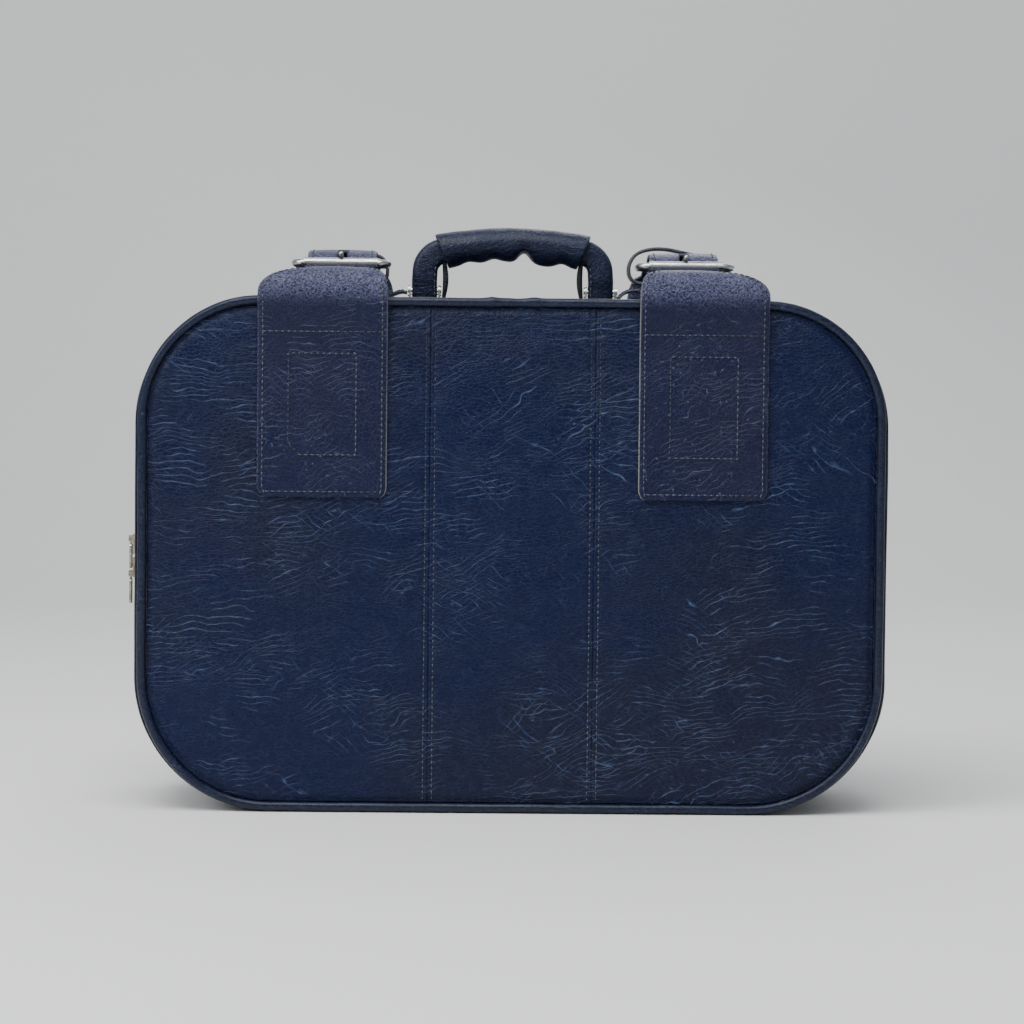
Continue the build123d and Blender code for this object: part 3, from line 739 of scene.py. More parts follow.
@dataclass(frozen=True)
class Outline:
    """Rounded oblong seen from the front, in millimetres: half its width, its heights and its radii."""

    half: float
    low: float
    high: float
    top_r: float
    bottom_r: float

    def inset(self, by: float) -> "Outline":
        """The same outline, smaller by a distance."""
        return Outline(self.half - by, self.low + by, self.high - by, self.top_r - by, self.bottom_r - by)

    def heights(self, x: float) -> tuple[float, float]:
        """Lowest and highest place of the outline at one x."""
        found = []
        for radius, flat, way in ((self.bottom_r, self.low, 1), (self.top_r, self.high, -1)):
            past = max(0.0, abs(x) - (self.half - radius))
            found.append(flat + way * (radius - math.sqrt(max(0.0, radius * radius - past * past))))
        return found[0], found[1]

    def depth(self, x: float, z: float) -> float:
        """Distance of a point from the outline, measured inwards."""
        radius = self.top_r if 2 * z > self.low + self.high else self.bottom_r
        across, up = self.half - abs(x), min(z - self.low, self.high - z)
        if across < radius and up < radius:
            return radius - math.hypot(radius - across, radius - up)
        return min(across, up)

    def walk(self, step: float) -> list[tuple[float, float, float, float]]:
        """Points and outward directions round the outline.

        Args:
            step: Distance between points, about.

        Returns:
            Rows of x, z, outward x and outward z, from the middle of the underside towards +X.
        """
        corners = ((1, -1, self.bottom_r, self.low), (1, 1, self.top_r, self.high),
                   (-1, 1, self.top_r, self.high), (-1, -1, self.bottom_r, self.low))
        found: list[tuple[float, float, float, float]] = []
        here = (0.0, self.low)
        for number, (sx, sz, radius, flat) in enumerate(corners):
            centre = (sx * (self.half - radius), flat - sz * radius)
            start = -math.pi / 2 + number * math.pi / 2
            first = (centre[0] + radius * math.cos(start), centre[1] + radius * math.sin(start))
            run = math.dist(here, first)
            for k in range(max(1, round(run / step))):
                t = k / max(1, round(run / step))
                found.append((here[0] + (first[0] - here[0]) * t, here[1] + (first[1] - here[1]) * t,
                              math.cos(start), math.sin(start)))
            turns = max(4, round(radius * math.pi / 2 / step))
            for k in range(turns):
                angle = start + math.pi / 2 * k / turns
                found.append((centre[0] + radius * math.cos(angle), centre[1] + radius * math.sin(angle),
                              math.cos(angle), math.sin(angle)))
            end = start + math.pi / 2
            here = (centre[0] + radius * math.cos(end), centre[1] + radius * math.sin(end))
        run = abs(here[0])
        for k in range(max(1, round(run / step))):
            found.append((here[0] * (1 - k / max(1, round(run / step))), self.low, 0.0, -1.0))
        return found


BODY = Outline(224.0, 0.0, 304.8, 74.0, 80.0)
PIPE_LINE = Outline(219.5, 3.1, 304.1, 70.0, 77.0)
FACE = PIPE_LINE.inset(2.8)
SEAM_X = 49.0
SEAM_ROW = 2.7
FACE_Y = 65.0
FACE_END = 216.6
SEAMED = 5.0
PANEL_THICK = 1.3


def face_rise(x: float, z: float, seed: float) -> float:
    """How far the padded leather of a face stands out from its flat plane, in millimetres."""
    depth = FACE.depth(x, z)
    seam = min(abs(x - SEAM_X), abs(x + SEAM_X)) if seed < SEAMED else 99.0
    rise = 2.9 * smooth(depth / 62) - 1.5 * (1 - smooth(depth / 5.5))
    rise -= 0.35 * math.exp(-(seam / 1.0) ** 2) + 1.1 * smooth(depth / 40) * (1 - smooth(seam / 30))
    pucker = noise.noise(Vector((x * 0.01, z / 6.5, seed)))
    pucker += 0.6 * noise.noise(Vector((x * 0.02, z / 2.8, seed)))
    rise += 0.55 * pucker * math.exp(-seam / 8) * smooth(seam / 1.5) * smooth(depth / 8)
    edge_pucker = noise.noise(Vector((x / 7, z / 7, seed + 3)))
    rise += 0.5 * edge_pucker * math.exp(-depth / 9) * smooth(depth / 3)
    rise -= 0.45 * math.exp(-((seam - SEAM_ROW) / 0.8) ** 2)
    calm = smooth(depth / 18)
    rise += calm * (0.9 * ripple(x, z * 1.5, 75, seed) + 0.45 * ripple(x * 0.7, z * 1.6, 26, seed + 1))
    rise += calm * 0.20 * ripple(x * 0.5, z * 1.5, 9, seed + 2)
    return -1.4 + math.log1p(math.exp((rise + 1.4) * 5)) / 5


def spread(low: float, high: float, step: float) -> list[float]:
    """Places from low to high, closer together at both ends."""
    count = max(4, round((high - low) / step))
    return [low + (high - low) * (k / count - 0.7 * math.sin(2 * math.pi * k / count) / (2 * math.pi))
            for k in range(count + 1)]


@dataclass
class Face:
    """The leather front or back of the case: panels sewn together over thin padding.

    Attributes:
        sign: -1 for the front, 1 for the back.
        body: The body that it moves with.
        seed: Seed of its unevenness; under SEAMED the face has its two seams.
        panels: Name, CAD node, and range of x of each panel.
    """

    sign: float
    body: str
    seed: float
    panels: Sequence[tuple[str, str, float, float]]

    def point(self, x: float, z: float, lift: float = 0.0) -> Vector:
        """A point on the leather, raised by a distance in millimetres."""
        return mm(x, self.sign * (FACE_Y + face_rise(x, z, self.seed) + lift), z)

    def build(self) -> None:
        """Make the panels and their seams."""
        for name, node, low, high in self.panels:
            self.make_panel(name, node, low, high)
        if self.seed < SEAMED:
            lines = []
            for x in (SEAM_X, -SEAM_X):
                z_low, z_high = FACE.heights(x)
                for off in (-SEAM_ROW, SEAM_ROW):
                    steps = [z_low + 3 + k for k in range(int(z_high - z_low) - 5)]
                    lines.append([self.point(x + off + 0.25 * ripple(x, z, 30, 9), z, -0.05) for z in steps])
            stitch("front_seam_stitches", lines, self.body)

    def make_panel(self, name: str, node: str, low: float, high: float) -> None:
        """Make one crowned panel with its rolled border."""
        columns = spread(low, high, 2.6)
        rows = spread(0.0, 1.0, 1 / 112)
        front, back, wear = [], [], []
        for x in columns:
            bottom, top = FACE.heights(x)
            for share in rows:
                z = bottom + (top - bottom) * share
                front.append(self.point(x, z))
                back.append(self.point(x, z, -PANEL_THICK))
                # Painted highlight: the rubbed colour rises towards the top of the panel, standing for the
                # light from above.
                wear.append(0.06 * smooth((z - 250) / 60))
        tall = len(rows)
        size = len(front)
        faces: list[tuple[int, ...]] = []
        for i in range(len(columns) - 1):
            for j in range(tall - 1):
                a, b = i * tall + j, (i + 1) * tall + j
                faces += [(a, b, b + 1, a + 1), (size + a, size + a + 1, size + b + 1, size + b)]
        rim = [i * tall for i in range(len(columns))] + [size - tall + j for j in range(1, tall)]
        rim += [i * tall + tall - 1 for i in range(len(columns) - 2, -1, -1)] + list(range(tall - 2, 0, -1))
        faces += [(a, size + a, size + b, b) for a, b in zip(rim, rim[1:] + rim[:1])]
        verts = front + back
        if signed_volume(verts, faces) < 0:
            faces = [tuple(reversed(f)) for f in faces]
        piece = new_piece(name, verts, faces, [PANEL])
        set_values(piece, "wear", wear + wear)
        finish_piece(piece, self.body, PANEL.slot, node)


# ------------------------------------------------------------------------------------ bands and piping
BAND_THICK = 1.4
BAND_ROUND = 0.5
BAND_ROW = 2.6
PIPE_RADIUS = 2.75
PIPE_Y = 64.5
PIPE_FOLDS = ((-13.0, 0.8), (12.0, 0.7), (2.0, -0.35))


def band_loop(outline: Outline, step: float, profile: Profile) -> list[Loop]:
    """Carry a closed profile round an outline.

    Args:
        outline: The outline, in millimetres.
        step: Distance between sections.
        profile: Gives the profile's points, as outward distance and y, from x, z and the side share.

    Returns:
        The sections.
    """
    sections = []
    for x, z, nx, nz in outline.walk(step):
        sections.append([mm(x + nx * out, y, z + nz * out) for out, y in profile(x, z, abs(nx))])
    return sections


@dataclass
class Band:
    """A ring of leather round the case, bulging a little at the sides.

    Attributes:
        name: Its name.
        node: Its CAD node.
        body: Its body.
        y_low: Its front edge, in millimetres.
        y_high: Its back edge.
        bulge: How far it stands out at mid-depth on the sides.
    """

    name: str
    node: str
    body: str
    y_low: float
    y_high: float
    bulge: float

    def out(self, x: float, y: float, z: float, side: float) -> float:
        """How far the leather stands out at a point of the band."""
        share = (y - self.y_low) / (self.y_high - self.y_low)
        swell = self.bulge * math.sin(math.pi * min(1.0, max(0.0, share))) * side
        uneven = 0.7 * ripple(y + 300, x + z, 42, 2.5) * side if z > 12 else 0.0
        top = 0.35 * ripple(x, y, 30, 4.1) * (1 - side) if z > 290 else 0.0
        return swell + uneven * math.sin(math.pi * share) + top * math.sin(math.pi * share) ** 2

    def build(self) -> None:
        """Make the band and its row of stitches along the zip."""
        count = 16 if self.y_high - self.y_low > 40 else 7
        places = [self.y_low + (self.y_high - self.y_low) * k / (count - 1) for k in range(count)]

        def profile(x: float, z: float, side: float) -> list[tuple[float, float]]:
            """The band's section, its front and back edges rounded."""
            outer = [(self.out(x, y, z, side), y) for y in places]
            outer[0] = (outer[0][0] - BAND_ROUND, outer[0][1])
            outer[-1] = (outer[-1][0] - BAND_ROUND, outer[-1][1])
            outer.insert(1, (outer[0][0] + 0.45, self.y_low + BAND_ROUND))
            outer.insert(-1, (outer[-1][0] + 0.45, self.y_high - BAND_ROUND))
            ends = (self.y_low, self.y_high)
            inner = [(0.1 - BAND_THICK if y in ends else out - BAND_THICK, y) for out, y in outer[::-1]]
            return outer + inner

        piece = loft(self.name, band_loop(BODY, 3.2, profile), [BAND], ring=True)
        wear = []
        for vert in piece.data.vertices:
            edge = min(abs(vert.co.y / MM - self.y_low), abs(vert.co.y / MM - self.y_high))
            wear.append(0.12 * (1 - smooth(edge / 2.5)) + (0.12 if vert.co.z < 2 * MM else 0.0))
        set_values(piece, "wear", wear)
        finish_piece(piece, self.body, BAND.slot, self.node)
        row = self.y_high - BAND_ROW if self.body == "lid" else self.y_low + BAND_ROW
        line = []
        for x, z, nx, nz in BODY.walk(2.0):
            lift = self.out(x, row, z, abs(nx)) + 0.05
            line.append(mm(x + nx * lift, row, z + nz * lift))
        stitch(f"{self.name}_stitches", [[p for p in line if p.z > 14 * MM]], self.body)


@dataclass
class Piping:
    """A leather-covered cord round one face, with an overlapped join at the top."""

    name: str
    node: str
    body: str
    sign: float

    def build(self) -> None:
        """Make the piping, a little uneven, with the folds of its join."""
        sections = []
        for x, z, nx, nz in PIPE_LINE.walk(2.4):
            radius = PIPE_RADIUS + 0.10 * noise.noise(Vector((x / 16, z / 16, self.sign)))
            join = 0.0
            if z > 300 and self.sign < 0:
                for at, size in PIPE_FOLDS:
                    join += size * math.exp(-((x - at) / 3.2) ** 2)
            sway = 0.35 * noise.noise(Vector((x / 40, z / 40, 3 + self.sign)))
            centre = mm(x + nx * sway, self.sign * (PIPE_Y + join * 0.4), z + nz * (sway + join * 0.3))
            size = (radius + join * 0.6) * MM
            sections.append(round_loop(centre, Vector((nx, 0, nz)) * size, Vector((0, 1, 0)) * size, 16))
        piece = loft(self.name, sections, [PIPING], ring=True)
        wear = [0.02 + 0.10 * smooth((abs(v.co.y / MM) - 65.6) / 2) for v in piece.data.vertices]
        set_values(piece, "wear", wear)
        finish_piece(piece, self.body, PIPING.slot, self.node)


HINGE_HALF = 149.0
ZIP_SIDES = (("lid", (-57.5, -49.6), -49.1, 0), ("case", (-46.4, -39.0), -46.9, 1))


@dataclass
class Zip:
    """The zip round the case: two tapes and two rows of teeth, parted at the bottom by the leather hinge."""

    def build(self) -> None:
        """Make the tapes, the teeth and the hinge."""
        for side, tape, teeth, shift in ZIP_SIDES:
            line = self.open_walk(BODY.inset(1.95), 3.0)
            loops = []
            for x, z, nx, nz in line:
                flat = [(o, y) for o, ys in ((0.33, tape), (-0.33, tape[::-1])) for y in ys]
                loops.append([mm(x + nx * o, y, z + nz * o) for o, y in flat])
            finish_piece(loft(f"zip_tape_{side}", loops, [TAPE]), side, TAPE.slot, f"{side}_zip_tape")
            line = self.open_walk(BODY.inset(1.8), 1.4)[shift:]
            points = [mm(x, teeth, z) for x, z, _, _ in line]
            made = set_out(f"zip_teeth_{side}", Repeat.TOOTH, [points], ZIP_METAL, Pitch=2.8 * MM,
                           Long=1.5 * MM, Wide=1.5 * MM, Tall=2.2 * MM, Uneven=0.0)
            finish_piece(made, side, ZIP_METAL.slot, f"{side}_zip_teeth")
        loops = []
        for k in range(25):
            y = -57 + 18 * k / 24
            drop = 0.25 * math.sin(math.pi * k / 24)
            section = ((-HINGE_HALF, 2.9), (HINGE_HALF, 2.9), (HINGE_HALF, 1.8), (-HINGE_HALF, 1.8))
            loops.append([mm(x, y, z - drop) for x, z in section])
        piece = loft("hinge_leather", loops, [BAND])
        set_values(piece, "wear", [0.2] * len(piece.data.vertices))
        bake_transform(piece)
        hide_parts("hinge_strip")

    @staticmethod
    def open_walk(outline: Outline, step: float) -> list[tuple[float, float, float, float]]:
        """The outline without the middle of its underside, where the hinge is."""
        flat = outline.low + 1
        return [row for row in outline.walk(step) if row[1] >= flat or abs(row[0]) >= HINGE_HALF]


@dataclass
class Lining:
    """Cloth lining of the case or of the lid: a wall and a flat back."""

    name: str
    node: str
    body: str
    open_y: float
    back_y: float

    def build(self) -> None:
        """Make the lining as a shallow tray of thin cloth."""
        way = 1 if self.back_y > self.open_y else -1
        rows = [(0.0, self.back_y, 0.0), (0.0, self.open_y, 0.0), (0.7, self.open_y, 0.0)]
        count = max(2, round(abs(self.back_y - self.open_y) / 6))
        for k in range(1, count):
            rows.append((0.7, self.open_y + (self.back_y - self.open_y) * k / count, 1.0))
        rows += [(1.1, self.back_y - way * 2.2, 0.3), (2.5, self.back_y - way * 0.7, 0.0)]
        sections = []
        for inset, y, loose in rows:
            section = []
            for x, z, nx, nz in self.paired(BODY.inset(5.2)):
                inward = inset + loose * abs(self.sag(x, y, z))
                section.append(mm(x - nx * inward, y, z - nz * inward))
            sections.append(section)
        finish_piece(loft(self.name, sections, [LINING]), self.body, LINING.slot, self.node)

    @staticmethod
    def sag(x: float, y: float, z: float) -> float:
        """How far the cloth hangs off its wall."""
        return 0.9 * noise.noise(Vector((x / 30, y / 24, z / 30)))

    @staticmethod
    def paired(outline: Outline) -> list[tuple[float, float, float, float]]:
        """Points round an outline, an even number, paired left and right."""
        right = [row for row in outline.walk(5.0) if row[0] > 0.01]
        return right + [(-x, z, -nx, nz) for x, z, nx, nz in right[::-1]]


# ----------------------------------------------------------------------------------------------- straps
STRAP_X = 104.0
TAB_NEAR, TAB_FAR = 74.5, 151.5
NECK_NEAR, NECK_FAR, SHOULDER = 8.5, 26.5, 19.5
TAB_CORNER, TONGUE_CORNER = 6.5, 12.0
SEW_IN, SEW_SPAN = 3.2, 98.0
BOX_LOW, BOX_HIGH, BOX_IN = 25.0, 85.0, 18.5
KEEPER_Y, KEEPER_HALF, KEEPER_THICK = 25.5, 6.3, 2.1
EDGE_STEPS = (0.0, 0.6, 1.1, 2.2)
EDGE_DROPS = (0.8, 0.28, 0.07, 0.0)


def strip_loop(at: Callable[[float, float], Vector], low: float, high: float, thick: float) -> Loop:
    """Section of a leather strip with softened edges.

    Args:
        at: Gives a point from the place across and the lift, in millimetres.
        low: One edge.
        high: The other edge.
        thick: Thickness.

    Returns:
        A loop: the top from the low edge to the high one, then the underside back.
    """
    tight = min(1.0, (high - low) / 6)
    ends = [(low + e * tight, d) for e, d in zip(EDGE_STEPS, EDGE_DROPS)]
    first, last = low + EDGE_STEPS[-1] * tight, high - EDGE_STEPS[-1] * tight
    inner = [(first + (last - first) * k / 13, 0.0) for k in range(1, 13)]
    row = ends + inner + [(high - e * tight, d) for e, d in zip(EDGE_STEPS[::-1], EDGE_DROPS[::-1])]
    return [at(x, thick / 2 - d) for x, d in row] + [at(x, d * 0.6 - thick / 2) for x, d in row[::-1]]


def stations(length: float, step: float = 2.4) -> list[float]:
    """Places along a strip, closer together at its two ends."""
    ends = [0.0, 0.15, 0.5, 1.0, 1.7, 2.6, 3.8, 5.2, 6.8, 8.8]
    count = round((length - 2 * ends[-1]) / step)
    middle = [ends[-1] + (length - 2 * ends[-1]) * k / count for k in range(1, count)]
    return ends + middle + [length - e for e in ends[::-1]]


def corner(along: float, radius: float) -> float:
    """How far a rounded corner takes an edge in, at a distance from the end."""
    if along >= radius:
        return 0.0
    return radius - math.sqrt(max(0.0, radius * radius - (radius - along) ** 2))


@dataclass
class Strap:
    """One wide strap tab that narrows over a shoulder into the strap over the top of the case.

    Attributes:
        side: -1 left, 1 right.
        front: Whether it is on the front, sewn to the lid, or on the back.
        seed: Seed of its unevenness.
    """

    side: float
    front: bool
    seed: float
    thick: float = 2.2

    def __post_init__(self) -> None:
        """Lay out the strap's line, in the plane of depth and height."""
        if self.front:
            knots = [(-66.15, 188), (-66.15, 215), (-66.2, 245), (-66.5, 270), (-68.0, 287), (-69.6, 300),
                     (-70.1, 309), (-68.2, 317.6), (-63.2, 322.4), (-56, 323.7), (-49, 323.2), (-38, 323.1),
                     (-27, 323.2), (-22.5, 325.2), (-18.5, 329.3), (-14, 333.4), (-8, 335.4), (-1, 336.2),
                     (7, 334.9), (14, 332.6), (21, 331.5), (36, 331.4), (46, 331.6)]
        else:
            knots = [(66.15, 188), (66.15, 215), (66.2, 245), (66.5, 270), (68.0, 287), (69.6, 300),
                     (70.0, 312), (68.6, 322), (64, 327.4), (57, 329.0), (49, 328.9), (30, 328.9),
                     (14, 328.9), (3, 329.2),
                     (-3.5, 330.6), (-8, 331.2), (-10.6, 330.1), (-11.5, 327.8), (-10.5, 325.4), (-8, 324.4),
                     (-3, 325.2), (4, 326.4), (14, 326.7)]
        self.line = smooth_line([(0, y, z) for y, z in knots], 0.5)
        self.ways = directions(self.line)
        pitch = (self.line[1] - self.line[0]).length
        self.length = pitch * (len(self.line) - 1)
        self.turn = -1.0 if self.front else 1.0
        self.neck_at = pitch * next(k for k, p in enumerate(self.line) if p.z > 308)
        self.word = side_word(self.side)
        self.body = "lid" if self.front else "case"

    def at(self, along: float, x: float, lift: float) -> Vector:
        """A point of the strap, from the distance along it, its x and its lift, in millimetres."""
        place = min(len(self.line) - 1.001, max(0.0, along / self.length * (len(self.line) - 1)))
        k = int(place)
        here = self.line[k].lerp(self.line[k + 1], place - k)
        way = self.ways[k].lerp(self.ways[k + 1], place - k).normalized()
        out = Vector((0, self.turn * way.z, -self.turn * way.y))
        waves = 0.35 * ripple(x, along, 34, self.seed) + 0.15 * ripple(x, along, 13, self.seed + 2)
        held = 1 - smooth((here.z - 272) / 20) if here.z < 300 and along < 130 else 0.0
        rise = max(-1.0, face_rise(x, here.z, 1.0 if self.front else 6.0)) * held
        loose = 0.25 if along < 90 else 1.0
        point = here + out * (lift + waves * loose) + Vector((0, -rise if self.front else rise, 0))
        cup = 0.63 * smooth((here.z - 300) / 12) * ((abs(x) - STRAP_X) / 21) ** 2
        return mm(x, point.y, point.z - cup * smooth((along - self.neck_at) / 20))

    def edges(self, along: float) -> tuple[float, float]:
        """The x of the strap's two edges at a distance along it."""
        t = min(1.0, max(0.0, (along - self.neck_at) / SHOULDER))
        inset = 1 - math.sqrt(1 - t * t)
        near, far = TAB_NEAR + NECK_NEAR * inset, TAB_FAR - NECK_FAR * inset
        cut = corner(along, TAB_CORNER)
        tip = corner(self.length - along, TONGUE_CORNER) if self.front else 0.0
        near, far = near + 0.6 * cut + tip, far - cut - tip
        return (near, far) if self.side > 0 else (-far, -near)

    def build(self) -> None:
        """Make the strap with its cut edges, its stitches and the slot for the buckle's prong."""
        sections = []
        for along in stations(self.length):
            low, high = self.edges(along)
            sections.append(strip_loop(lambda x, d, s=along: self.at(s, x, d), low, high, self.thick))
        half = len(sections[0]) // 2

        def edge(i: int, j: int) -> int:
            """Cut edges are the two narrow sides and the ends."""
            return int(i < 0 or j in (half - 1, 2 * half - 1, 0 if self.side > 0 else half - 2))

        name = f"{'front' if self.front else 'back'}_strap_{self.word}"
        piece = loft(name, sections, [STRAP, CUT_EDGE], edge=edge)
        around = len(sections[0])
        wear = []
        for index, vert in enumerate(piece.data.vertices):
            near = min(index % around % half, half - 1 - index % around % half)
            bent = smooth((vert.co.z / MM - 300) / 14)
            wear.append(min(1.0, (0.30 if near < 2 else 0.03) + 0.55 * bent))
        set_values(piece, "wear", wear)
        x = self.side * STRAP_X
        if self.front:
            cut_slot(piece, mm(x - 2.7, -25, 318), mm(x + 2.7, -2.5, 342))
            nodes = [f"strap_tab_{self.word}", f"tongue_{self.word}"]
        else:
            cut_slot(piece, mm(x - 3.2, -16, 318), mm(x + 3.2, 6, 340))
            nodes = [f"rear_strap_{self.word}"]
        finish_piece(piece, self.body, STRAP.slot, *nodes)
        self.sew(name)

    def sew(self, name: str) -> None:
        """Sew the border, the cross row and the box of stitches that hold the tab."""
        top = self.thick / 2 + 0.02
        last = self.length - 4 if self.front else self.length - 46
        lines = []
        for pick, way in ((0, 1), (1, -1)):
            steps = [SEW_IN + k for k in range(int(last - 4))]
            lines.append([self.at(s, self.edges(s)[pick] + way * SEW_IN, top) for s in steps])
        low, high = self.edges(20)
        lines.append([self.at(SEW_IN, low + 6 + k, top) for k in range(int(high - low) - 12)])
        lines.append([self.at(SEW_SPAN, low + 4 + k, top) for k in range(int(high - low) - 7)])
        x0, x1 = low + BOX_IN, high - BOX_IN
        chamfer = 7.0 if self.side < 0 and self.front else 0.0
        corners = [(x0 + chamfer, BOX_LOW), (x1, BOX_LOW), (x1, BOX_HIGH), (x0, BOX_HIGH),
                   (x0, BOX_LOW + chamfer), (x0 + chamfer, BOX_LOW)]
        box_line = []
        for (xa, sa), (xb, sb) in zip(corners, corners[1:]):
            count = max(1, round(math.dist((xa, sa), (xb, sb))))
            for k in range(count):
                box_line.append(self.at(sa + (sb - sa) * k / count, xa + (xb - xa) * k / count, top))
        lines.append(box_line)
        if self.front:
            low, high = self.edges(self.length - 14)
            lines.append([self.at(self.length - 3.6, low + 9 + k, top) for k in range(int(high - low) - 18)])
        stitch(f"{name}_stitches", lines, self.body)


def cut_slot(piece: bpy.types.Object, low: Vector, high: Vector) -> None:
    """Cut a box out of a piece."""
    verts = [Vector((x, y, z)) for x in (low.x, high.x) for y in (low.y, high.y) for z in (low.z, high.z)]
    faces = [(0, 1, 3, 2), (4, 6, 7, 5), (0, 4, 5, 1), (2, 3, 7, 6), (0, 2, 6, 4), (1, 5, 7, 3)]
    cutter = new_piece(f"{piece.name}_cutter", verts, faces, [CUT_EDGE])
    modifier = piece.modifiers.new("slot", "BOOLEAN")
    modifier.operation = "DIFFERENCE"
    modifier.solver = "EXACT"
    modifier.object = cutter
    plain_copy(piece)
    bpy.data.objects.remove(cutter)


@dataclass
class Keeper:
    """A loop of leather that holds the strap's end, slumped to its own shape.

    Attributes:
        side: -1 left, 1 right.
        knots: Points of the loop's middle line, as distance outwards from the case's middle and height.
    """

    side: float
    knots: Sequence[tuple[float, float]]

    def build(self) -> None:
        """Make the loop."""
        name = f"keeper_{side_word(self.side)}"
        line = smooth_line([(self.side * x, KEEPER_Y, z) for x, z in self.knots], 1.6, closed=True)
        centre = sum(line, Vector()) / len(line)
        sections = []
        for point, way in zip(line, directions(line, closed=True)):
            out = Vector((way.z, 0, -way.x))
            if out.dot(point - centre) < 0:
                out = -out
            lean = 0.5 * noise.noise(Vector((point.x / 9, 2.0, point.z / 9)))

            def at(y: float, lift: float, p=point, n=out, s=lean) -> Vector:
                """A point across the loop's strip, which tapers in to softly rounded edges."""
                spot = p + n * (lift + 0.25 * ((y - KEEPER_Y) / 6.5) ** 2)
                return mm(spot.x, y + s, spot.z)

            sections.append(strip_loop(at, KEEPER_Y - KEEPER_HALF, KEEPER_Y + KEEPER_HALF, KEEPER_THICK))
        half = len(sections[0]) // 2
        cut = (0, half - 1, 2 * half - 1)
        piece = loft(name, sections, [STRAP, CUT_EDGE], ring=True, edge=lambda i, j: int(j in cut))
        around = len(sections[0])
        wear = [0.5 if min(i % around % half, half - 1 - i % around % half) < 2 else 0.12
                for i in range(len(piece.data.vertices))]
        set_values(piece, "wear", wear)
        finish_piece(piece, name, STRAP.slot, name)
        piece.name = piece.data.name = f"loop_of_{name}"


# ----------------------------------------------------------------------------------------------- handle
GRIP_HALF, GRIP_TALL, GRIP_DEEP = 44.3, 10.6, 12.2
GRIP_AROUND = 40
LEG_FROM, LEG_FOOT, LEG_WIDE, LEG_DEEP = 38.5, 306.6, 7.75, 6.1
RIVET_Z = 306.1


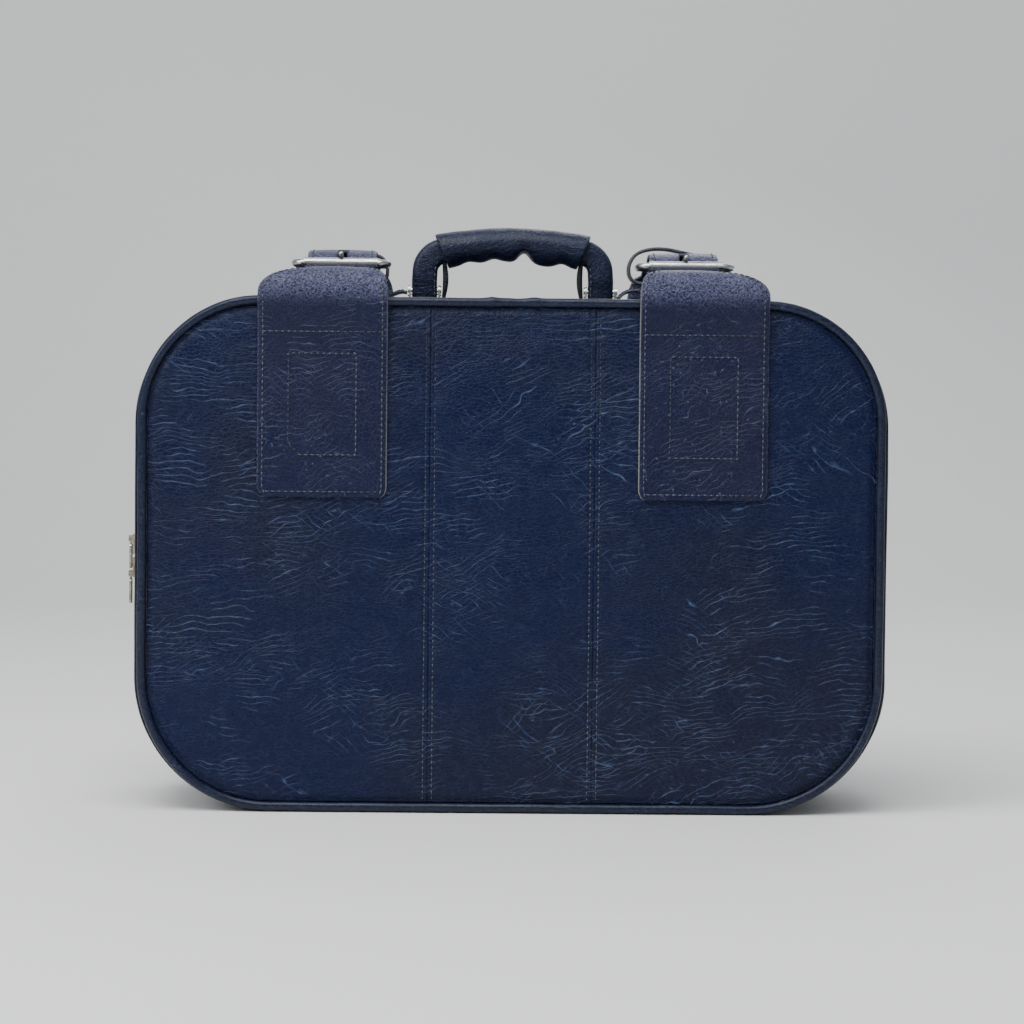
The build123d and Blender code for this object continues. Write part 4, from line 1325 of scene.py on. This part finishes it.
@dataclass
class Handle:
    """The carrying handle: a padded grip between two leather legs."""

    grooves: Sequence[tuple[float, float, float]] = ((-29.0, 2.0, 6.0), (-13.0, 2.2, 6.0), (7.5, 5.4, 4.6),
                                                     (23.0, -1.2, 7.0), (33.0, 1.8, 5.0))

    def __post_init__(self) -> None:
        """Lay out the arch of the handle."""
        knots = [(-54, 0, 307.0), (-54, 0, 312.6), (-54, 0, 321), (-52.8, 0, 329.4), (-47.6, 0, 335.4),
                 (-40, 0, 337.6), (-26, 0, 339.5), (-12, 0, 340.9), (0, 0, 341.3)]
        self.arch = smooth_line(knots + [(-x, y, z) for x, y, z in knots[-2::-1]], 1.0)

    def build(self) -> None:
        """Make the grip, the legs, the pads inside them and the stitches."""
        self.make_grip()
        for side in SIDES.values():
            self.make_leg(side)
            self.make_pad(side)

    def make_grip(self) -> None:
        """Make the grip, with dents under it and slanted ends."""
        sections, wear = [], []
        inside = [p for p in self.arch if abs(p.x) <= GRIP_HALF]
        ways = directions(inside)
        last = len(inside) - 1
        rows = [(0, 0.80), (0, 0.91), (0, 0.97)] + [(k, 1.0) for k in range(1, last)]
        rows += [(last, 0.97), (last, 0.91), (last, 0.80)]
        for number, (k, scale) in enumerate(rows):
            point, way = inside[k], ways[k]
            up = Vector((-way.z, 0, way.x))
            loop = []
            for j in range(GRIP_AROUND):
                angle = 2 * math.pi * (j + 0.5) / GRIP_AROUND
                c, s = math.cos(angle), math.sin(angle)
                low = 0.0
                if s < 0:
                    low = sum(d * math.exp(-((point.x - x) / w) ** 2) for x, d, w in self.grooves)
                tall = (GRIP_TALL - low * min(1.0, -s * 1.3)) * scale
                deep = (GRIP_DEEP - 0.25 * abs(low)) * scale
                slant = 2.3 * s * (point.x / GRIP_HALF)
                crumple = 0.20 * noise.noise(Vector((point.x / 7, c * 2, s * 2)))
                spot = point + up * (s * tall + crumple * s)
                loop.append(mm(spot.x + slant, c * deep, spot.z))
                wear.append(0.10 + 0.5 * (1 - smooth(min(number, len(rows) - 1 - number) / 4)))
            sections.append(loop)
        piece = loft("grip", sections, [HANDLE])
        set_values(piece, "wear", wear)
        finish_piece(piece, "handle", HANDLE.slot, "handle_grip")

    def make_leg(self, side: float) -> None:
        """Make one leg, from its rounded foot up round the bend into the grip."""
        line = [p for p in self.arch if side * p.x > LEG_FROM]
        if side > 0:
            line.reverse()
        sections, inner = [], []
        for k, (point, way) in enumerate(zip(line, directions(line))):
            rise = point.z - LEG_FOOT
            foot = math.sqrt(max(0.02, 1 - max(0.0, 1 - rise / 6.2) ** 2))
            deep = (LEG_DEEP + 1.3 * smooth((point.z - 313) / 8)) * (0.25 + 0.75 * foot)
            wide = LEG_WIDE - 0.9 * (1 - smooth(rise / 3))
            across = Vector((way.z, 0, -way.x)) * wide * MM
            sections.append(round_loop(point * MM, across, Vector((0, 1, 0)) * deep * MM, 28, 3.4))
            if k > 3:
                inner.append(mm(point.x - side * 6.2 if abs(way.z) > 0.9 else point.x, -deep - 0.02, point.z))
        name = f"leg_{side_word(side)}"
        piece = loft(name, sections, [HANDLE])
        set_values(piece, "wear", [0.18] * len(piece.data.vertices))
        finish_piece(piece, "handle", HANDLE.slot, f"handle_{name}")
        low_part = [p for p in inner if p.z < 330 * MM]
        rows = [[Vector((p.x, p.y * flip, p.z)) for p in low_part] for flip in (1, -1)]
        stitch(f"{name}_stitches", rows, "handle")

    def make_pad(self, side: float) -> None:
        """Make the soft lining tongue inside one leg."""
        name = f"inner_pad_{side_word(side)}"
        low, high = (Vector(p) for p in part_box(f"handle_{name}"))
        middle = (low + high) / 2
        sections = []
        for k in range(14):
            t = k / 13
            z = low.z + (high.z - low.z + 10 * MM) * t
            thick = (high.x - low.x) / 2 * (0.45 + 0.55 * math.sin(math.pi * (0.1 + 0.8 * t)))
            wide = (high.y - low.y) / 2 * (0.6 + 0.4 * smooth(t * 4)) * 1.25
            bow = -side * 1.2 * math.sin(math.pi * t) * MM
            place = Vector((middle.x + bow, middle.y, z))
            sections.append(round_loop(place, Vector((thick, 0, 0)), Vector((0, wide, 0)), 16, 2.6))
        piece = loft(name, sections, [PAD])
        finish_piece(piece, "handle", PAD.slot, f"handle_{name}")


@dataclass
class AnchorPatch:
    """A short patch of leather from the handle's foot down to the case.

    Attributes:
        side: -1 left, 1 right.
        knots: Points of its middle line, as distance outwards from the case's middle and height.
    """

    side: float
    knots: Sequence[tuple[float, float]]

    def build(self) -> None:
        """Make the patch, its edges softened, and its stitches."""
        word = side_word(self.side)
        line = smooth_line([(self.side * x, 0, z) for x, z in self.knots], 0.5)
        ways = directions(line)
        length = (len(line) - 1) * (line[1] - line[0]).length

        def at(along: float, y: float, lift: float) -> Vector:
            """A point of the patch."""
            place = min(len(line) - 1.001, max(0.0, along / length * (len(line) - 1)))
            k = int(place)
            here, way = line[k].lerp(line[k + 1], place - k), ways[k]
            out = Vector((-way.z, 0, way.x)) * math.copysign(1.0, way.x)
            here = here + out * (lift + 0.3 * ripple(y, along, 9, self.side))
            return mm(here.x, y, here.z)

        sections = []
        for along in stations(length, 1.4):
            cut = corner(length - along, 6.0)
            sections.append(strip_loop(lambda y, d, s=along: at(s, y, d), -9 + cut, 9 - cut, 1.9))
        half = len(sections[0]) // 2
        piece = loft(f"anchor_{word}", sections, [STRAP, CUT_EDGE],
                     edge=lambda i, j: int(i < 0 or j in (half - 1, 2 * half - 1)))
        set_values(piece, "wear", [0.3] * len(piece.data.vertices))
        finish_piece(piece, "case", STRAP.slot, f"anchor_patch_{word}")
        rows = [[at(s, y, 1.0) for s in range(3, int(length) - 2)] for y in (-6.6, 6.6)]
        stitch(f"anchor_{word}_stitches", rows, "case")


# ---------------------------------------------------------------------------------- metal and CAD nodes
NODE_FINISHES = (
    (NICKEL, ("buckle_frame", "buckle_prong", "buckle_roller", "handle_bracket", "handle_pins")),
    (ZIP_METAL, ("zip_slider", "zip_pull")),
    (STEEL, ("handle_core", "handle_backing_plate")),
    (BOARD, ("front_board", "back_board", "band_stiffener")),
    (WADDING, ("front_foam", "back_foam")),
    (CORD, ("front_piping_cord", "back_piping_cord")),
)


@dataclass
class CadPieces:
    """The CAD nodes that show as they are, each given its finish."""

    def build(self) -> None:
        """Give every CAD node a finish."""
        for name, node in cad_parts.items():
            found = [finish for finish, starts in NODE_FINISHES if name.startswith(starts)]
            node.data.materials.clear()
            node.data.materials.append((found[0] if found else STRAP).material())
            LOG.info("finished CAD node %s with %s", name, node.data.materials[0].name)

    @staticmethod
    def rivets() -> None:
        """Dome the rivets of the handle's brackets."""
        places = [(side * x, y) for side in SIDES.values() for x in (40.5, 68.5) for y in (-5, 5)]
        points = [mm(x, y, RIVET_Z) for x, y in places]
        made = set_out("handle_rivet_heads", Repeat.RIVET, [points], NICKEL, Long=6.0 * MM, Wide=6.0 * MM,
                       Tall=2.6 * MM, Uneven=0.0)
        finish_piece(made, "case", NICKEL.slot, "handle_rivets")


# ------------------------------------------------------------------------------------------------ stage
@dataclass(frozen=True)
class View:
    """The camera and lights of the picture."""

    azimuth: float = -1.0
    elevation: float = 2.5
    roll: float = 0.6
    lens: float = 100.0
    distance: float = 1.69
    aim: Colour = (0.0, -0.065, 0.180)

    def build(self) -> None:
        """Set the floor, the lights, the world and the camera."""
        floor_mat = bpy.data.materials.new("pale_floor")
        floor_mat.use_nodes = True
        shader = floor_mat.node_tree.nodes["Principled BSDF"]
        shader.inputs["Base Color"].default_value = (0.86, 0.86, 0.85, 1)
        shader.inputs["Roughness"].default_value = 0.75
        mesh = bpy.data.meshes.new("floor")
        size, back, tall = 6.0, 2.4, 4.0
        rows = [(-size, 0.0)] + [(back - 0.8 + 0.8 * math.sin(a), 0.8 - 0.8 * math.cos(a))
                                 for a in (math.pi / 2 * k / 12 for k in range(13))] + [(back, tall)]
        verts = [(x, y, z - 0.0002) for y, z in rows for x in (-size, size)]
        faces = [(2 * i, 2 * i + 1, 2 * i + 3, 2 * i + 2) for i in range(len(rows) - 1)]
        mesh.from_pydata(verts, [], faces)
        mesh.polygons.foreach_set("use_smooth", [True] * len(faces))
        mesh.materials.append(floor_mat)
        floor = bpy.data.objects.new("floor", mesh)
        bpy.context.scene.collection.objects.link(floor)
        world = bpy.data.worlds.new("pale_world")
        world.use_nodes = True
        world.node_tree.nodes["Background"].inputs["Color"].default_value = (0.90, 0.94, 1.0, 1)
        world.node_tree.nodes["Background"].inputs["Strength"].default_value = 0.42
        bpy.context.scene.world = world
        lights = [self.light("top_light", (-0.3, -0.75, 1.75), 1.4, 36.0),
                  self.light("left_light", (-1.7, -1.2, 1.3), 1.2, 22.0),
                  self.light("rear_light", (0.5, 1.5, 1.5), 1.4, 10.0)]
        data = bpy.data.cameras.new("camera")
        data.lens, data.sensor_width, data.clip_start, data.clip_end = self.lens, 36.0, 0.05, 60.0
        camera = bpy.data.objects.new("camera", data)
        bpy.context.scene.collection.objects.link(camera)
        turn, lift = math.radians(self.azimuth), math.radians(self.elevation)
        away = Vector((math.sin(turn) * math.cos(lift), -math.cos(turn) * math.cos(lift), math.sin(lift)))
        aim = Vector(self.aim)
        camera.location = aim + away * self.distance
        look = (-away).to_track_quat("-Z", "Y").to_matrix().to_4x4()
        tilt = Matrix.Rotation(math.radians(self.roll), 4, "Z")
        camera.matrix_world = Matrix.Translation(camera.location) @ look @ tilt
        bpy.context.scene.camera = camera

    @staticmethod
    def light(name: str, place: Colour, size: float, power: float) -> bpy.types.Object:
        """Add one soft light that faces the case."""
        data = bpy.data.lights.new(name, "AREA")
        data.size, data.energy = size, power
        lamp = bpy.data.objects.new(name, data)
        bpy.context.scene.collection.objects.link(lamp)
        way = Vector((0, 0, 0.17)) - Vector(place)
        lamp.matrix_world = Matrix.Translation(place) @ way.to_track_quat("-Z", "Y").to_matrix().to_4x4()
        return lamp


PATCH_KNOTS = {
    "left": ((64.8, 311.5), (68.5, 311.8), (74, 309.9), (81, 307.4), (88, 306.1), (98, 305.9)),
    "right": ((64.8, 309.0), (68.5, 312.2), (73, 314.0), (79, 313.4), (84, 309.6), (88.5, 306.3),
              (98, 305.9)),
}
KEEPER_KNOTS = {
    "left": ((104, 316.9), (118, 317.1), (126.2, 319.5), (127.2, 326), (125.8, 332.0), (119, 334.6),
             (104, 334.8), (90, 335.0), (82.5, 334.4), (78.2, 330.0), (77.8, 323), (80.5, 318.2),
             (90, 317.0)),
    "right": ((104, 319.0), (118, 319.1), (125.8, 321.2), (127.1, 327), (126.0, 332.4), (119, 335.9),
              (108, 338.4), (96, 340.7), (86, 340.6), (77.5, 337.6), (73.2, 331), (73.4, 324), (78, 319.8),
              (90, 319.1)),
}


def main() -> None:
    """Build every piece of the case, then the stage."""
    logging.basicConfig(level=logging.INFO, format="%(message)s")
    front_panels = (("panel_left", "front_panel_left", -FACE_END, -SEAM_X - 0.01),
                    ("panel_centre", "front_panel_centre", -SEAM_X + 0.01, SEAM_X - 0.01),
                    ("panel_right", "front_panel_right", SEAM_X + 0.01, FACE_END))
    assemblies = [
        CadPieces(),
        Face(-1, "lid", 1.0, front_panels),
        Face(1, "case", 6.0, (("panel_back", "back_panel", -FACE_END, FACE_END),)),
        Band("band_lid", "lid_band", "lid", -61.6, -51.5, 0.6),
        Band("band_case", "case_band", "case", -44.5, 61.6, 2.6),
        Piping("piping_front", "front_piping", "lid", -1),
        Piping("piping_back", "back_piping", "case", 1),
        Zip(),
        Lining("lining_of_case", "case_lining", "case", -42.0, 58.4),
        Lining("lining_of_lid", "lid_lining", "lid", -51.0, -58.6),
        Handle(),
    ]
    assemblies += [AnchorPatch(side, PATCH_KNOTS[word]) for word, side in SIDES.items()]
    assemblies += [Keeper(side, KEEPER_KNOTS[word]) for word, side in SIDES.items()]
    for side in SIDES.values():
        assemblies += [Strap(side, front, 11 + side + 3 * front) for front in (True, False)]
    assemblies.append(View())
    for assembly in assemblies:
        assembly.build()
    CadPieces.rivets()


if __name__ == "__main__":
    main()
